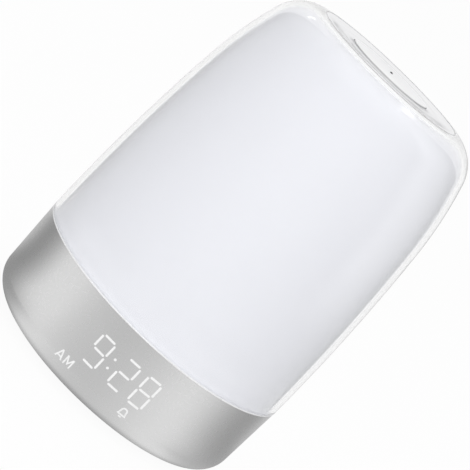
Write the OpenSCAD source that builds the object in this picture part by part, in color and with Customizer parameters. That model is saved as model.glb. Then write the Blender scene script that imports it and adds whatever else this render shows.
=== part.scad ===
// Sunrise alarm clock: a clear cover over a milky lamp shade, on a satin silver base
// with a hidden display, a press button in the top and setting buttons at the rear.
// Millimetres, +Z up, front towards -Y, origin under the middle of the feet.

/* [Body] */
// Widest diameter of the clear cover
body_d = 124; // [120:1:140]
// Height of the top rim above the underside of the base
body_h = 170; // [150:1:200]
// Height of the widest ring above the underside of the base
belt_h = 41.5; // [39:0.5:46]
// Lean of the side where its long curve ends, in degrees
side_lean = 5.7; // [4:0.1:6.5]
// Lean of the side where the shoulder begins, in degrees
shoulder_lean = 17; // [14:0.5:20]
// Radius of the upper side curve, seen from the front
upper_side_r = 170; // [140:5:200]
// Radius of the shoulder, seen from the front
shoulder_r = 17; // [12:0.5:20]

/* [Shades] */
// Wall of the clear cover
cover_wall = 1.8; // [1.4:0.1:2]
// Air gap between the clear cover and the milky shade
shade_gap = 0.55; // [0.4:0.05:0.8]
// Wall of the milky shade
diffuser_wall = 1.6; // [1.2:0.1:2]

/* [Base] */
// Height of the silver base
base_h = 38; // [37:0.5:39]
// Lean of the base wall, in degrees
base_taper = 2.2; // [0.5:0.1:3]
// Radius of the rounded bottom edge
base_edge_r = 9.8; // [8:0.2:11]
// Wall of the base
base_wall = 2; // [1.6:0.1:2.4]
// How far the base stands inside the clear cover
base_inset = 0.1; // [0:0.05:0.3]
// Thickness of the base's floor ring
base_floor = 3.6; // [3.2:0.1:4]
// Width of the floor ring under the bottom cover
floor_ring_w = 4.5; // [3.5:0.5:5.5]
// Thickness of the bottom cover's rim
plate_rim_t = 1.6; // [1.2:0.1:2]
// Full thickness of the bottom cover
plate_t = 2.8; // [2.4:0.1:3.2]
// Height of the seam ring
seam_ring_h = 1.2; // [0.8:0.1:1.6]
// Silver lip left outside the seam ring
seam_lip_w = 0.5; // [0.4:0.1:0.7]

/* [Chassis] */
// Thickness of the chassis plate
chassis_t = 3; // [2.4:0.1:3.4]
// Width of the ledge that carries the chassis
ledge_w = 2; // [1.5:0.1:3]
// Height of that ledge
ledge_h = 1.6; // [1.2:0.1:2]
// Diameter of a chassis leg
leg_d = 8; // [7:0.5:9]
// Outer diameter of the lamp column
column_d = 16; // [14:0.5:18]
// Wall of the lamp column
column_wall = 1.6; // [1.2:0.1:2]
// Diameter of the column's foot
column_foot_d = 28; // [27:0.5:29]

/* [Top button] */
// Diameter of the top button
button_d = 39.2; // [36:0.2:42]
// Travel of the top button
button_travel = 0.8; // [0.5:0.1:1]
// Wall of the top button
button_wall = 1.5; // [1.2:0.1:2]
// How far the button's flange reaches under the dish
button_flange_w = 1.3; // [1:0.1:1.6]
// Depth of the dish around the button
dish_depth = 0.5; // [0.4:0.1:1.2]
// Diameter of the light sensor hole
sensor_hole_d = 1.6; // [0.8:0.1:2]
// How far the light sensor's lens stands above the button
lens_proud = 0.5; // [0.3:0.1:0.7]
// Distance of each top switch from the axis
top_switch_x = 10; // [8:0.5:12]

/* [Display] */
// Height of the digits
digit_h = 14.2; // [12:0.2:15]
// Width of the digits
digit_w = 7.2; // [6.6:0.1:7.6]
// Width of a lit stroke
stroke_w = 0.95; // [0.8:0.05:1.2]
// Distance between digits side by side
digit_pitch = 10.35; // [9.8:0.05:10.6]
// Distance from the colon to the next digit's middle
colon_to_digit = 6.6; // [6:0.1:7]
// Height of the digits' middle above the underside of the base
display_h = 22; // [21:0.5:23]
// Height of the small marks' middle above the underside of the base
mark_h = 10.2; // [9.9:0.1:11.8]
// Depth from the base's inner wall to the display board
display_depth = 14.5; // [13:0.5:16]

/* [Rear controls] */
// Diameter of a rear button
rear_button_d = 6.8; // [6:0.2:7.4]
// Distance between rear buttons
rear_pitch = 11; // [10.5:0.5:11.5]
// Distance of the rear buttons below the seam
rear_button_drop = 11.5; // [11:0.5:12.5]
// Travel of a rear button
rear_travel = 0.6; // [0.4:0.1:0.8]
// How far a rear button stands out of the base
rear_proud = 0.9; // [0.8:0.1:1.5]
// Depth from the base's inner wall to the rear board
rear_depth = 14.5; // [14:0.5:16]

/* [Power inlet] */
// Height of the inlet above the underside of the base
inlet_h = 14; // [13.5:0.5:15]
// Diameter of the inlet's bore
inlet_bore_d = 5.7; // [5.5:0.1:6]
// Depth of the inlet's bore
inlet_bore_l = 9.5; // [9:0.5:10]
// Diameter of the inlet's pin
inlet_pin_d = 2; // [1.9:0.1:2.5]
// Diameter of the inlet's nose
inlet_nose_d = 7.8; // [7.6:0.2:8.4]

/* [Boards and speaker] */
// Thickness of every circuit board
board_t = 1.6; // [1:0.2:2]
// Width of the display board and of the rear board
upright_board_w = 62; // [60:1:66]
// Length of the bosses that carry the main board
main_board_drop = 10; // [9:0.5:11]
// Distance from the lamp board's edge to the milky shade
led_board_gap = 6; // [3:0.5:8]
// Radius of the ring of warm diodes
warm_ring_r = 24; // [22:0.5:27]
// Distance from the ring of white diodes to the lamp board's edge
white_ring_gap = 9; // [5:0.5:11]
// Side of a lamp light-emitting diode
led_side = 5; // [3.5:0.5:5]
// Outer diameter of the speaker
speaker_d = 39; // [36:1:42]
// Depth of the speaker up to its magnet
speaker_depth = 10; // [9:0.5:11]
// Thickness of the speaker's magnet
magnet_t = 6; // [5:0.5:6.5]

/* [Feet and fasteners] */
// Height of the feet below the base
foot_h = 2; // [1.5:0.1:3]
// Diameter of a foot
foot_d = 12; // [10:0.5:14]
// Depth of a foot's seat in the bottom cover
foot_seat = 0.6; // [0.4:0.1:0.8]
// Diameter of the screws' shanks
screw_d = 2.5; // [2:0.1:2.8]
// Diameter of the screws' heads
screw_head_d = 4.6; // [4.2:0.2:5]

/* [Hidden] */
$fn = 96;
eps = 0.01;
far = 200;

// Clearances
fit_gap = 0.2;       // between pieces that seat in each other
screw_gap = 0.05;    // around a screw's shank
move_gap = 0.3;      // around a button, over its travel
inlay_gap = 0.02;    // around a lit stroke in its window
plunger_gap = 0.06;  // around a switch's plunger

// Levels
base_z = foot_h;
seam_z = base_z + base_h;
belt_z = base_z + belt_h;
rim_z = base_z + body_h;
body_r = body_d / 2;

// Side curve of the cover: three arcs that run into each other, long side, upper side, shoulder
side_r = (body_h - belt_h - upper_side_r * (sin(shoulder_lean) - sin(side_lean))
          - shoulder_r * (1 - sin(shoulder_lean))) / sin(side_lean);
side_c = [body_r - side_r, belt_z];
upper_c = side_c + (side_r - upper_side_r) * [cos(side_lean), sin(side_lean)];
shoulder_c = upper_c + (upper_side_r - shoulder_r) * [cos(shoulder_lean), sin(shoulder_lean)];
opening_r = shoulder_c[0];
shade_inset = cover_wall + shade_gap;
shade_core_inset = shade_inset + diffuser_wall;

// Base outline: a leaning wall that runs into the rounded bottom edge
base_top_r = body_r - base_inset;
edge_c = [base_top_r - (base_edge_r + sin(base_taper) * (base_h - base_edge_r)) / cos(base_taper),
          base_z + base_edge_r];
function wall_r(z, inset) =
    base_top_r - inset / cos(base_taper) + tan(base_taper) * (z - seam_z);
inner_top_r = wall_r(seam_z, base_wall);
floor_z = base_z + base_floor;
recess_r = edge_c[0] - 0.5;
floor_hole_r = recess_r - floor_ring_w;
plate_z = base_z + plate_t;

// Chassis
chassis_top = seam_z - 0.1;
chassis_z = chassis_top - chassis_t;
chassis_r = wall_r(chassis_z, base_wall) - fit_gap;
leg_ring_r = floor_hole_r - foot_d / 2;
leg_angles = [45, 135, 225, 315];
screw_head_h = 1.3;
screw_bite = 5;
pilot_l = 9;
boss_d = 6.4;
boss_h = 4;
led_screw_ring_r = 33;
column_screw_ring_r = 11;
column_foot_t = 2.5;
three_angles = [90, 210, 330];
wire_hole_r = 5;
lead_hole_d = 3.2;
led_lead_x = 18;

// Top, from the dish down to the switches
dish_seat_z = rim_z - shade_inset;
carrier_rim_z = rim_z - shade_core_inset - fit_gap;
dish_r = opening_r - fit_gap;
button_r = button_d / 2;
dish_hole_r = button_r + move_gap;
flange_r = button_r + button_flange_w;
diffuser_hole_r = flange_r + 0.5;
flange_top_z = dish_seat_z - move_gap;
flange_t = 1.2;
switch_side = 6;
switch_h = 3.5;
plunger_d = 3.5;
plunger_proud = 1.05;
stem_d = 4;
top_drop = 11.5;
top_board_top = rim_z - top_drop;
top_board_z = top_board_top - board_t;
top_board_r = flange_r - 0.4;
standoff_h = 1.5;
carrier_t = 2;
carrier_wall = 1.6;
carrier_floor_top = top_board_z - standoff_h;
carrier_z = carrier_floor_top - carrier_t;
spigot_l = 5;
carrier_hole_r = 2;
top_screw_ring_r = 15;
lead_d = 2.6;

// Lamp board
led_board_r = body_r - shade_core_inset - led_board_gap;
led_board_hole_r = column_foot_d / 2 + 1;
led_board_top = chassis_top + board_t;
led_h = 1.5;
led_lens_d = 3.2;
led_lens_sink = 0.3;
warm_count = 10;
white_count = 18;

// Main board
main_board_r = leg_ring_r - leg_d / 2 - 0.5;
main_board_top = chassis_z - main_board_drop;
main_board_z = main_board_top - board_t;
main_boss_ring_r = main_board_r - 7.2;
edge_part_x = main_board_r - 8.5;
cap_r = 3;
cap_h = 7;
cap_y = 3.5;
header_w = 2.5;
header_y = main_board_r - 3.2;
header_pins = 8;
pin_pitch = 2.54;
pin_d = 0.64;
cell_d = 16;
cell_t = 3.2;
cell_x = 17.5 - main_board_r;
holder_wall = 1.2;
holder_floor = 0.8;

// Display
window_depth = 0.5;
display_face_y = -(inner_top_r - display_depth);
board_half_w = upright_board_w / 2;
board_top_z = seam_z - 4.5;
board_low_z = base_z + 5;
guide_w = 4;
guide_x = board_half_w - guide_w / 2;
guide_overlap = 2.5;
guide_wall = 1.6;
board_gap = 0.15;
mask_half_w = board_half_w - guide_w - 0.5;
mask_low_z = base_z + 6;
mask_top_z = base_z + display_h + digit_h / 2 + 1.4;
channel_w = stroke_w + 0.2;
display_screw_x = mask_half_w - 1.9;
display_screw_drop = 11;
display_screw_z = seam_z - display_screw_drop;
small_screw_d = 1.6;
small_head_d = 3;
small_head_h = 1;
small_led = 1;
small_led_h = 0.6;
mark_w = 0.62;

// Rear board
rear_face_y = inner_top_r - rear_depth;
rear_button_z = seam_z - rear_button_drop;
rear_button_r = rear_button_d / 2;
rear_flange_r = rear_button_r + 1.1;
rear_flange_t = 1.2;
rear_count = 5;
function rear_x(i) = (i - (rear_count - 1) / 2) * rear_pitch;
function rear_flange_y(x) =
    sqrt(pow(wall_r(rear_button_z - rear_flange_r, base_wall), 2)
         - pow(abs(x) + rear_flange_r, 2)) - move_gap;
rear_plunger_y = rear_face_y + switch_h + plunger_proud;

// Power inlet
inlet_z = base_z + inlet_h;
inlet_body_w = 9;
inlet_body_h = 11;
inlet_low_wall_r = edge_c[0]
    + sqrt(pow(base_edge_r - base_wall, 2) - pow(edge_c[1] - (inlet_z - inlet_body_h / 2), 2));
inlet_body_y = sqrt(pow(inlet_low_wall_r, 2) - pow(inlet_body_w / 2, 2)) - fit_gap;
inlet_mouth_y = wall_r(inlet_z - inlet_nose_d / 2, 0) - 0.6;

// Speaker
speaker_r = speaker_d / 2;
speaker_rim_w = 3;
speaker_rim_t = 1.5;
collar_wall = 1.5;
collar_h = 3;
speaker_back_r = 13;
magnet_r = 10.5;
cone_t = 0.5;
coil_r = 5;
grille_hole_d = 2.2;
grille_pitch = 3.8;
grille_rings = 3;

// ---- Shared shapes ----

// Points on an arc, from one lean to another
function arc_points(centre, r, from, to, steps) =
    [for (k = [0 : steps]) let (a = from + (to - from) * k / steps) centre + r * [cos(a), sin(a)]];

// Outline of the cover and everything inside it, set in by a wall, from a level up
module side_region(inset, low_z) {
    low_lean = asin((low_z - belt_z) / (side_r - inset));
    side = arc_points(side_c, side_r - inset, low_lean, side_lean, 14);
    upper = arc_points(upper_c, upper_side_r - inset, side_lean, shoulder_lean, 10);
    shoulder = arc_points(shoulder_c, shoulder_r - inset, shoulder_lean, 90, 24);
    polygon(concat([[0, low_z]], side, after_first(upper), after_first(shoulder),
                   [[0, shoulder_c[1] + shoulder_r - inset]]));
}

function after_first(points) = [for (k = [1 : len(points) - 1]) points[k]];

// Outline of the base, set in by a wall, open above
module base_region(inset) {
    foot = [sin(90 - base_taper), -sin(base_taper)] * (base_edge_r - inset) + edge_c;
    above_z = seam_z + 1;
    polygon([[0, base_z + inset], [edge_c[0], base_z + inset], foot,
             [wall_r(above_z, inset), above_z], [0, above_z]]);
    translate(edge_c) circle(base_edge_r - inset);
}

// The base outline between two levels
module base_slab(inset, low_z, high_z) {
    intersection() {
        base_region(inset);
        translate([0, low_z]) square([body_d, high_z - low_z]);
    }
}

// A thin band along the base's outer surface, between two insets, the rounding in short runs
module window_band(outer, inner) {
    rotate_extrude() polygon(concat(base_line(outer, 1), base_line(inner, -1)));
}

// The base's outline as points from the floor up (dir 1) or from the seam down (dir -1)
function base_line(inset, dir) =
    let (points = concat(arc_points(edge_c, base_edge_r - inset, -60, -base_taper, 14),
                         [[wall_r(seam_z - 2, inset), seam_z - 2]]),
         last = len(points) - 1)
    [for (k = [0 : last]) points[dir > 0 ? k : last - k]];

// Straight strokes from point to point, with round ends and corners
module strokes(points, w) {
    for (i = [1 : len(points) - 1]) {
        run = points[i] - points[i - 1];
        translate(points[i - 1]) rotate(atan2(run[1], run[0]))
            translate([0, -w / 2]) square([norm(run), w]);
    }
    for (point = points) translate(point) circle(d = w, $fn = 24);
}

module tube_ring(r_out, r_in, h) {
    difference() {
        cylinder(r = r_out, h = h);
        translate([0, 0, -eps]) cylinder(r = r_in, h = h + 2 * eps);
    }
}

// A pan-head screw pointing up, its head's underside at z = 0
module screw(length, d, head_d, head_h) {
    difference() {
        translate([0, 0, -head_h]) cylinder(d = head_d, h = head_h, $fn = 32);
        for (a = [0, 90]) rotate(a) translate([-head_d / 3, -0.3, -head_h - eps])
            cube([head_d * 2 / 3, 0.6, head_h / 2]);
    }
    cylinder(d = d, h = length, $fn = 32);
}

module at_angles(ring_r, angles) {
    for (a = angles) rotate(a) translate([ring_r, 0, 0]) children();
}

module at_main_bosses() {
    at_angles(main_boss_ring_r, leg_angles) children();
}

// A shape drawn on the front of the base, as seen from the front
module on_front(depth_y) {
    rotate([90, 0, 0]) linear_extrude(depth_y) children();
}

// ---- Digits and marks, drawn as seen from the front ----

half_w = (digit_w - stroke_w) / 2;
half_h = (digit_h - stroke_w) / 2;
stroke_trim = stroke_w / 2 + 0.55;

// The seven strokes: top, upper left, upper right, middle, lower left, lower right, bottom
function flat_stroke(z) = [[-half_w + stroke_trim, z], [half_w - stroke_trim, z]];
function upright_stroke(x, side) = [[x, side * stroke_trim], [x, side * (half_h - stroke_trim)]];
SEGMENTS = [flat_stroke(half_h), upright_stroke(-half_w, 1), upright_stroke(half_w, 1),
            flat_stroke(0), upright_stroke(-half_w, -1), upright_stroke(half_w, -1),
            flat_stroke(-half_h)];
NINE = [0, 1, 2, 3, 5, 6];
TWO = [0, 2, 3, 4, 6];
EIGHT = [0, 1, 2, 3, 4, 5, 6];
DIGIT_X = [-colon_to_digit - digit_pitch, -colon_to_digit, colon_to_digit,
           colon_to_digit + digit_pitch];
display_z = base_z + display_h;
mark_z = base_z + mark_h;
colon_rise = digit_h * 0.16;
mark_half_h = 2.05;
am_x = [DIGIT_X[0] + 0.2, DIGIT_X[0] + 4.6];
bell_x = DIGIT_X[3] - 0.8;

module digit(x, lit, w) {
    translate([x, display_z]) for (k = lit) strokes(SEGMENTS[k], w);
}

module colon_dots(d) {
    for (side = [-1, 1]) translate([0, display_z + side * colon_rise]) circle(d = d, $fn = 24);
}

// The letters A and M in plain strokes of width w
module am_outline(w) {
    translate([am_x[0], mark_z]) a_letter(w, mark_half_h, 1.5);
    translate([am_x[1], mark_z]) m_letter(w, mark_half_h, 1.5);
}

// h is half the letter's height, leg_x the middle of its feet
module a_letter(w, h, leg_x) {
    level_w = w * norm([leg_x, 2 * h]) / (2 * h);
    foot_x = leg_x + level_w / 2;
    apex_z = h * (1 - level_w / leg_x);
    function inner_x(z) = (leg_x - level_w / 2) * (apex_z - z) / (apex_z + h);
    bar_z = -0.45 * h;
    difference() {
        polygon([[-foot_x, -h], [-level_w / 2, h], [level_w / 2, h], [foot_x, -h]]);
        polygon([[-inner_x(bar_z + w / 2), bar_z + w / 2], [0, apex_z],
                 [inner_x(bar_z + w / 2), bar_z + w / 2]]);
        polygon([[-inner_x(-h - eps), -h - eps], [-inner_x(bar_z - w / 2), bar_z - w / 2],
                 [inner_x(bar_z - w / 2), bar_z - w / 2], [inner_x(-h - eps), -h - eps]]);
    }
}

module m_letter(w, h, leg_x) {
    out_x = leg_x + w / 2;
    top_x = out_x - 1.15 * w;
    dip_z = -0.15 * h;
    slope = (h - dip_z) / top_x;
    low_z = dip_z - w * norm([1, slope]);
    knee_z = low_z + slope * (out_x - w);
    polygon([[-out_x, -h], [-out_x, h], [-top_x, h], [0, dip_z], [top_x, h], [out_x, h], [out_x, -h],
             [out_x - w, -h], [out_x - w, knee_z], [0, low_z], [w - out_x, knee_z],
             [w - out_x, -h]]);
}

// A bell in outline, with its clapper below
module bell_outline(w) {
    translate([bell_x, mark_z + 0.15]) {
        difference() {
            bell_shape(w / 2);
            bell_shape(-w / 2);
        }
        translate([-0.6, -2 - w / 2]) square([1.2, w]);
    }
}

module bell_shape(grow) {
    dome = arc_points([0, 0.7], 1.2 + grow, 180, 0, 16);
    polygon(concat([[-1.75 - grow, -1.05 - grow], [-1.3 - grow, -0.2]], dome,
                   [[1.3 + grow, -0.2], [1.75 + grow, -1.05 - grow]]));
}

module window_shapes(w, mark) {
    digit(DIGIT_X[1], NINE, w);
    digit(DIGIT_X[2], TWO, w);
    digit(DIGIT_X[3], EIGHT, w);
    colon_dots(w + 0.2);
    am_outline(mark);
    bell_outline(mark);
}

// ---- Case ----

module base_shell() {
    color("silver") difference() {
        union() {
            rotate_extrude() difference() {
                base_slab(0, base_z, seam_z);
                base_slab(base_wall, floor_z, seam_z + 1);
            }
            ledge_ring();
        }
        translate([0, 0, base_z - eps]) cylinder(r = recess_r, h = plate_rim_t + eps);
        translate([0, 0, base_z - eps]) cylinder(r = floor_hole_r, h = base_floor + 2 * eps);
        translate([0, 0, seam_z - seam_ring_h])
            cylinder(r = base_top_r - seam_lip_w, h = seam_ring_h + eps);
        intersection() {
            window_band(-1, window_depth);
            on_front(far) window_shapes(stroke_w, mark_w);
        }
        for (i = [0 : rear_count - 1]) translate([rear_x(i), rear_face_y, rear_button_z])
            rotate([-90, 0, 0]) cylinder(r = rear_button_r + move_gap, h = far);
        translate([0, rear_face_y, inlet_z])
            rotate([-90, 0, 0]) cylinder(d = inlet_nose_d + 2 * fit_gap, h = far);
    }
}

// Ledge inside the base's wall, under the chassis
module ledge_ring() {
    rotate_extrude() difference() {
        base_slab(base_wall / 2, chassis_z - ledge_h, chassis_z);
        translate([0, base_z]) square([wall_r(chassis_z, base_wall) - ledge_w, base_h]);
    }
}

module seam_ring() {
    color("white") translate([0, 0, seam_z - seam_ring_h])
        tube_ring(base_top_r - seam_lip_w - inlay_gap, inner_top_r, seam_ring_h);
}

module bottom_cover() {
    color("gainsboro") difference() {
        union() {
            translate([0, 0, base_z]) cylinder(r = recess_r - fit_gap, h = plate_rim_t);
            translate([0, 0, base_z]) cylinder(r = floor_hole_r - fit_gap, h = plate_t);
            translate([0, 0, plate_z - eps])
                tube_ring(speaker_r + fit_gap + collar_wall, speaker_r + fit_gap, collar_h);
        }
        translate([0, 0, base_z - eps]) {
            at_angles(leg_ring_r, leg_angles) {
                cylinder(d = screw_head_d + 0.4, h = screw_head_h + 0.1 + eps);
                cylinder(d = screw_d + 4 * screw_gap, h = far);
            }
            at_angles(leg_ring_r, [0, 90, 180, 270])
                cylinder(d = foot_d + fit_gap, h = foot_seat + eps);
            grille_holes();
        }
    }
}

module grille_holes() {
    cylinder(d = grille_hole_d, h = plate_t + 1, $fn = 24);
    for (ring = [1 : grille_rings], k = [0 : 6 * ring - 1])
        rotate(k * 60 / ring) translate([ring * grille_pitch, 0, 0])
            cylinder(d = grille_hole_d, h = plate_t + 1, $fn = 24);
}

module rubber_feet() {
    color("dimgray") at_angles(leg_ring_r, [0, 90, 180, 270]) rotate_extrude() {
        square([foot_d / 2 - 0.5, foot_h + foot_seat]);
        translate([0, 0.5]) square([foot_d / 2, foot_h + foot_seat - 0.5]);
        translate([foot_d / 2 - 0.5, 0.5]) circle(0.5);
    }
}

module cover_screws() {
    color("silver") at_angles(leg_ring_r, leg_angles)
        translate([0, 0, base_z + screw_head_h + 0.1])
            screw(pilot_l - 0.5, screw_d, screw_head_d, screw_head_h);
}

module chassis() {
    pilot_r = screw_d / 2 + screw_gap;
    color("whitesmoke") difference() {
        union() {
            translate([0, 0, chassis_z]) cylinder(r = chassis_r, h = chassis_t);
            at_angles(leg_ring_r, leg_angles)
                translate([0, 0, plate_z]) cylinder(d = leg_d, h = chassis_z - plate_z + 1);
            at_main_bosses() translate([0, 0, main_board_top])
                cylinder(d = boss_d, h = main_board_drop + 1);
            translate([0, 0, chassis_z - boss_h]) {
                at_angles(column_screw_ring_r, three_angles) cylinder(d = boss_d, h = boss_h + 1);
                at_angles(led_screw_ring_r, three_angles) cylinder(d = boss_d, h = boss_h + 1);
            }
            board_guide(display_face_y, -1);
            board_guide(rear_face_y, 1);
        }
        at_angles(leg_ring_r, leg_angles)
            translate([0, 0, plate_z - eps]) cylinder(r = pilot_r, h = pilot_l);
        at_main_bosses() translate([0, 0, main_board_top - eps])
            cylinder(r = pilot_r, h = main_board_drop - 2);
        translate([0, 0, chassis_top - chassis_t - boss_h + 1]) {
            at_angles(column_screw_ring_r, three_angles) cylinder(r = pilot_r, h = far);
            at_angles(led_screw_ring_r, three_angles) cylinder(r = pilot_r, h = far);
        }
        translate([0, 0, chassis_z - eps]) cylinder(r = wire_hole_r, h = far);
        translate([led_lead_x, 0, chassis_z - eps]) cylinder(d = lead_hole_d, h = far);
    }
}

// Two slotted blocks that hold a board's upper edge; side is the way the board faces
module board_guide(face_y, side) {
    slot_back = face_y - side * (board_t + board_gap);
    slot_front = face_y + side * board_gap;
    low = min(slot_back, slot_front);
    wide = abs(slot_front - slot_back);
    low_z = board_top_z - guide_overlap;
    for (x = [-guide_x, guide_x]) translate([x - guide_w / 2, low, low_z]) difference() {
        translate([0, -guide_wall, 0]) cube([guide_w, wide + 2 * guide_wall, chassis_z - low_z + 1]);
        translate([-eps, 0, -eps]) cube([guide_w + 2 * eps, wide, guide_overlap + fit_gap + eps]);
    }
}

// ---- Lamp ----

module outer_cover() {
    color("white", 0.35) rotate_extrude() difference() {
        side_region(0, seam_z);
        side_region(cover_wall, seam_z - 1);
        translate([0, rim_z - shade_inset]) square([opening_r, shade_inset + 1]);
    }
}

module inner_diffuser() {
    color("ghostwhite") rotate_extrude() difference() {
        side_region(shade_inset, chassis_top);
        side_region(shade_core_inset, chassis_top - 1);
        translate([0, rim_z - shade_core_inset - 1]) square([diffuser_hole_r, shade_core_inset]);
    }
}

// The dish sinks in a soft curve from its lip to its floor
module top_dish() {
    lip_w = 0.6;
    lip_z = rim_z - 0.05;
    dish_z = rim_z - dish_depth;
    slope_w = 0.7 * (dish_r - lip_w - dish_hole_r);
    steps = 16;
    slope = [for (k = [0 : steps])
             [dish_r - lip_w - slope_w * k / steps,
              (lip_z + dish_z) / 2 + (lip_z - dish_z) / 2 * cos(180 * k / steps)]];
    color("white") rotate_extrude()
        polygon(concat([[dish_hole_r, dish_seat_z], [dish_r, dish_seat_z], [dish_r, lip_z]],
                       slope, [[dish_hole_r, dish_z]]));
}

module top_button() {
    flange_z = flange_top_z - flange_t;
    edge_r = 0.6;
    color("white") difference() {
        union() {
            rotate_extrude() {
                translate([0, rim_z - button_wall]) square([button_r - edge_r, button_wall]);
                translate([button_r - button_wall, flange_z])
                    square([button_wall, rim_z - edge_r - flange_z]);
                translate([button_r - edge_r, rim_z - edge_r]) circle(edge_r);
                translate([button_r - button_wall, flange_z])
                    square([button_wall + button_flange_w, flange_t]);
            }
            for (x = [-top_switch_x, top_switch_x]) translate([x, 0, top_stem_z()])
                cylinder(d = stem_d, h = rim_z - button_wall - top_stem_z() + eps);
        }
        cylinder(d = sensor_hole_d, h = far);
    }
}

function top_stem_z() = top_board_top + switch_h + plunger_proud;

// Dark lens in the button's hole, over the light sensor, with its dome just above the button
module sensor_lens() {
    lens_r = sensor_hole_d / 2 - inlay_gap;
    dome_z = rim_z + lens_proud - lens_r;
    color("black") {
        translate([0, 0, rim_z - button_wall])
            cylinder(r = lens_r, h = dome_z - rim_z + button_wall);
        translate([0, 0, dome_z]) sphere(lens_r);
    }
}

// The moving pin of a push switch, standing on z = 0 with its top at the stem
module plunger(travel) {
    hidden = travel + 0.4;
    translate([0, 0, switch_h - hidden]) cylinder(d = plunger_d, h = plunger_proud + hidden, $fn = 32);
}

// The fixed case of a push switch, standing on z = 0
module switch_case(travel) {
    difference() {
        translate([-switch_side / 2, -switch_side / 2, 0]) cube([switch_side, switch_side, switch_h]);
        translate([0, 0, switch_h - 2 * travel - 0.6])
            cylinder(d = plunger_d + 2 * plunger_gap, h = far, $fn = 32);
    }
}

module top_plungers() {
    color("black") for (x = [-top_switch_x, top_switch_x])
        translate([x, 0, top_board_top]) plunger(button_travel);
}

module top_switches() {
    color("dimgray") for (x = [-top_switch_x, top_switch_x])
        translate([x, 0, top_board_top]) switch_case(button_travel);
}

module light_sensor() {
    sensor_r = 1.5;
    sensor_h = 5;
    color("black") translate([0, 0, top_board_top]) {
        cylinder(r = sensor_r + 0.3, h = 1);
        cylinder(r = sensor_r, h = sensor_h);
        translate([0, 0, sensor_h]) sphere(sensor_r);
    }
}

module top_board() {
    color("seagreen") translate([0, 0, top_board_z]) difference() {
        cylinder(r = top_board_r, h = board_t);
        at_angles(top_screw_ring_r, three_angles)
            translate([0, 0, -eps]) cylinder(d = screw_d + 4 * screw_gap, h = far);
    }
}

module top_board_screws() {
    length = board_t + standoff_h + carrier_t - 0.4;
    color("silver") at_angles(top_screw_ring_r, three_angles)
        translate([0, 0, top_board_top]) rotate([180, 0, 0])
            screw(length, screw_d, screw_head_d, screw_head_h);
}

module switch_carrier() {
    carrier_in_r = flange_r + 0.5;
    color("white") difference() {
        union() {
            translate([0, 0, carrier_z])
                cylinder(r = carrier_in_r + carrier_wall, h = carrier_rim_z - carrier_z);
            translate([0, 0, carrier_z - spigot_l])
                cylinder(r = column_d / 2 - column_wall - fit_gap, h = spigot_l + 1);
        }
        difference() {
            translate([0, 0, carrier_floor_top]) cylinder(r = carrier_in_r, h = far);
            at_angles(top_screw_ring_r, three_angles)
                translate([0, 0, carrier_floor_top - 1]) cylinder(d = boss_d, h = standoff_h + 1);
        }
        at_angles(top_screw_ring_r, three_angles) translate([0, 0, carrier_z + 0.3])
            cylinder(d = screw_d + 2 * screw_gap, h = far);
        translate([0, 0, carrier_z - spigot_l - eps]) cylinder(r = carrier_hole_r, h = far);
    }
}

module column() {
    color("white") difference() {
        union() {
            translate([0, 0, chassis_top]) cylinder(d = column_foot_d, h = column_foot_t);
            translate([0, 0, chassis_top]) cylinder(d = column_d, h = carrier_z - chassis_top);
        }
        translate([0, 0, chassis_top - eps])
            cylinder(d = column_d - 2 * column_wall, h = carrier_z - chassis_top + 2 * eps);
        at_angles(column_screw_ring_r, three_angles)
            translate([0, 0, chassis_top - eps])
                cylinder(d = screw_d + 4 * screw_gap, h = column_foot_t + 1);
    }
}

module column_screws() {
    color("silver") at_angles(column_screw_ring_r, three_angles)
        translate([0, 0, chassis_top + column_foot_t]) rotate([180, 0, 0])
            screw(column_foot_t + screw_bite, screw_d, screw_head_d, screw_head_h);
}

module top_lead() {
    color("darkgray") translate([0, 0, main_board_top])
        cylinder(d = lead_d, h = top_board_z - main_board_top);
}

module led_board() {
    color("whitesmoke") translate([0, 0, chassis_top]) difference() {
        tube_ring(led_board_r, led_board_hole_r, board_t);
        at_angles(led_screw_ring_r, three_angles)
            translate([0, 0, -eps]) cylinder(d = screw_d + 4 * screw_gap, h = far);
    }
}

module led_board_screws() {
    color("silver") at_angles(led_screw_ring_r, three_angles)
        translate([0, 0, led_board_top]) rotate([180, 0, 0])
            screw(board_t + screw_bite, screw_d, screw_head_d, screw_head_h);
}

// A ring of light-emitting diodes on the lamp board
module led_ring(ring_r, count) {
    at_angles(ring_r, [for (k = [0 : count - 1]) k * 360 / count])
        translate([0, 0, led_board_top]) difference() {
            translate([-led_side / 2, -led_side / 2, 0]) cube([led_side, led_side, led_h]);
            translate([0, 0, led_h - led_lens_sink]) cylinder(d = led_lens_d, h = led_h, $fn = 24);
        }
}

module warm_leds() {
    color("gold") led_ring(warm_ring_r, warm_count);
}

module white_leds() {
    color("lightyellow") led_ring(led_board_r - white_ring_gap, white_count);
}

module led_lead() {
    color("firebrick") translate([led_lead_x, 0, main_board_top])
        cylinder(d = 2, h = chassis_top - main_board_top);
}

// ---- Main board ----

module main_board() {
    color("seagreen") translate([0, 0, main_board_z]) difference() {
        cylinder(r = main_board_r, h = board_t);
        at_main_bosses() translate([0, 0, -eps]) cylinder(d = screw_d + 4 * screw_gap, h = far);
    }
}

module main_board_screws() {
    color("silver") at_main_bosses() translate([0, 0, main_board_z])
        screw(board_t + main_board_drop - 3, screw_d, screw_head_d, screw_head_h);
}

// Flat chips: [x, y, length, width, height]
CHIPS = [[7, 10, 10, 10, 1.6], [7, -10, 9, 6, 1.5], [-4, 20, 7, 5, 1.2], [-6, -19, 6, 4, 1.2],
         [edge_part_x, -10.5, 4, 4, 2.2]];

module main_chips() {
    color("black") for (chip = CHIPS)
        translate([chip[0] - chip[2] / 2, chip[1] - chip[3] / 2, main_board_top])
            cube([chip[2], chip[3], chip[4]]);
}

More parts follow.
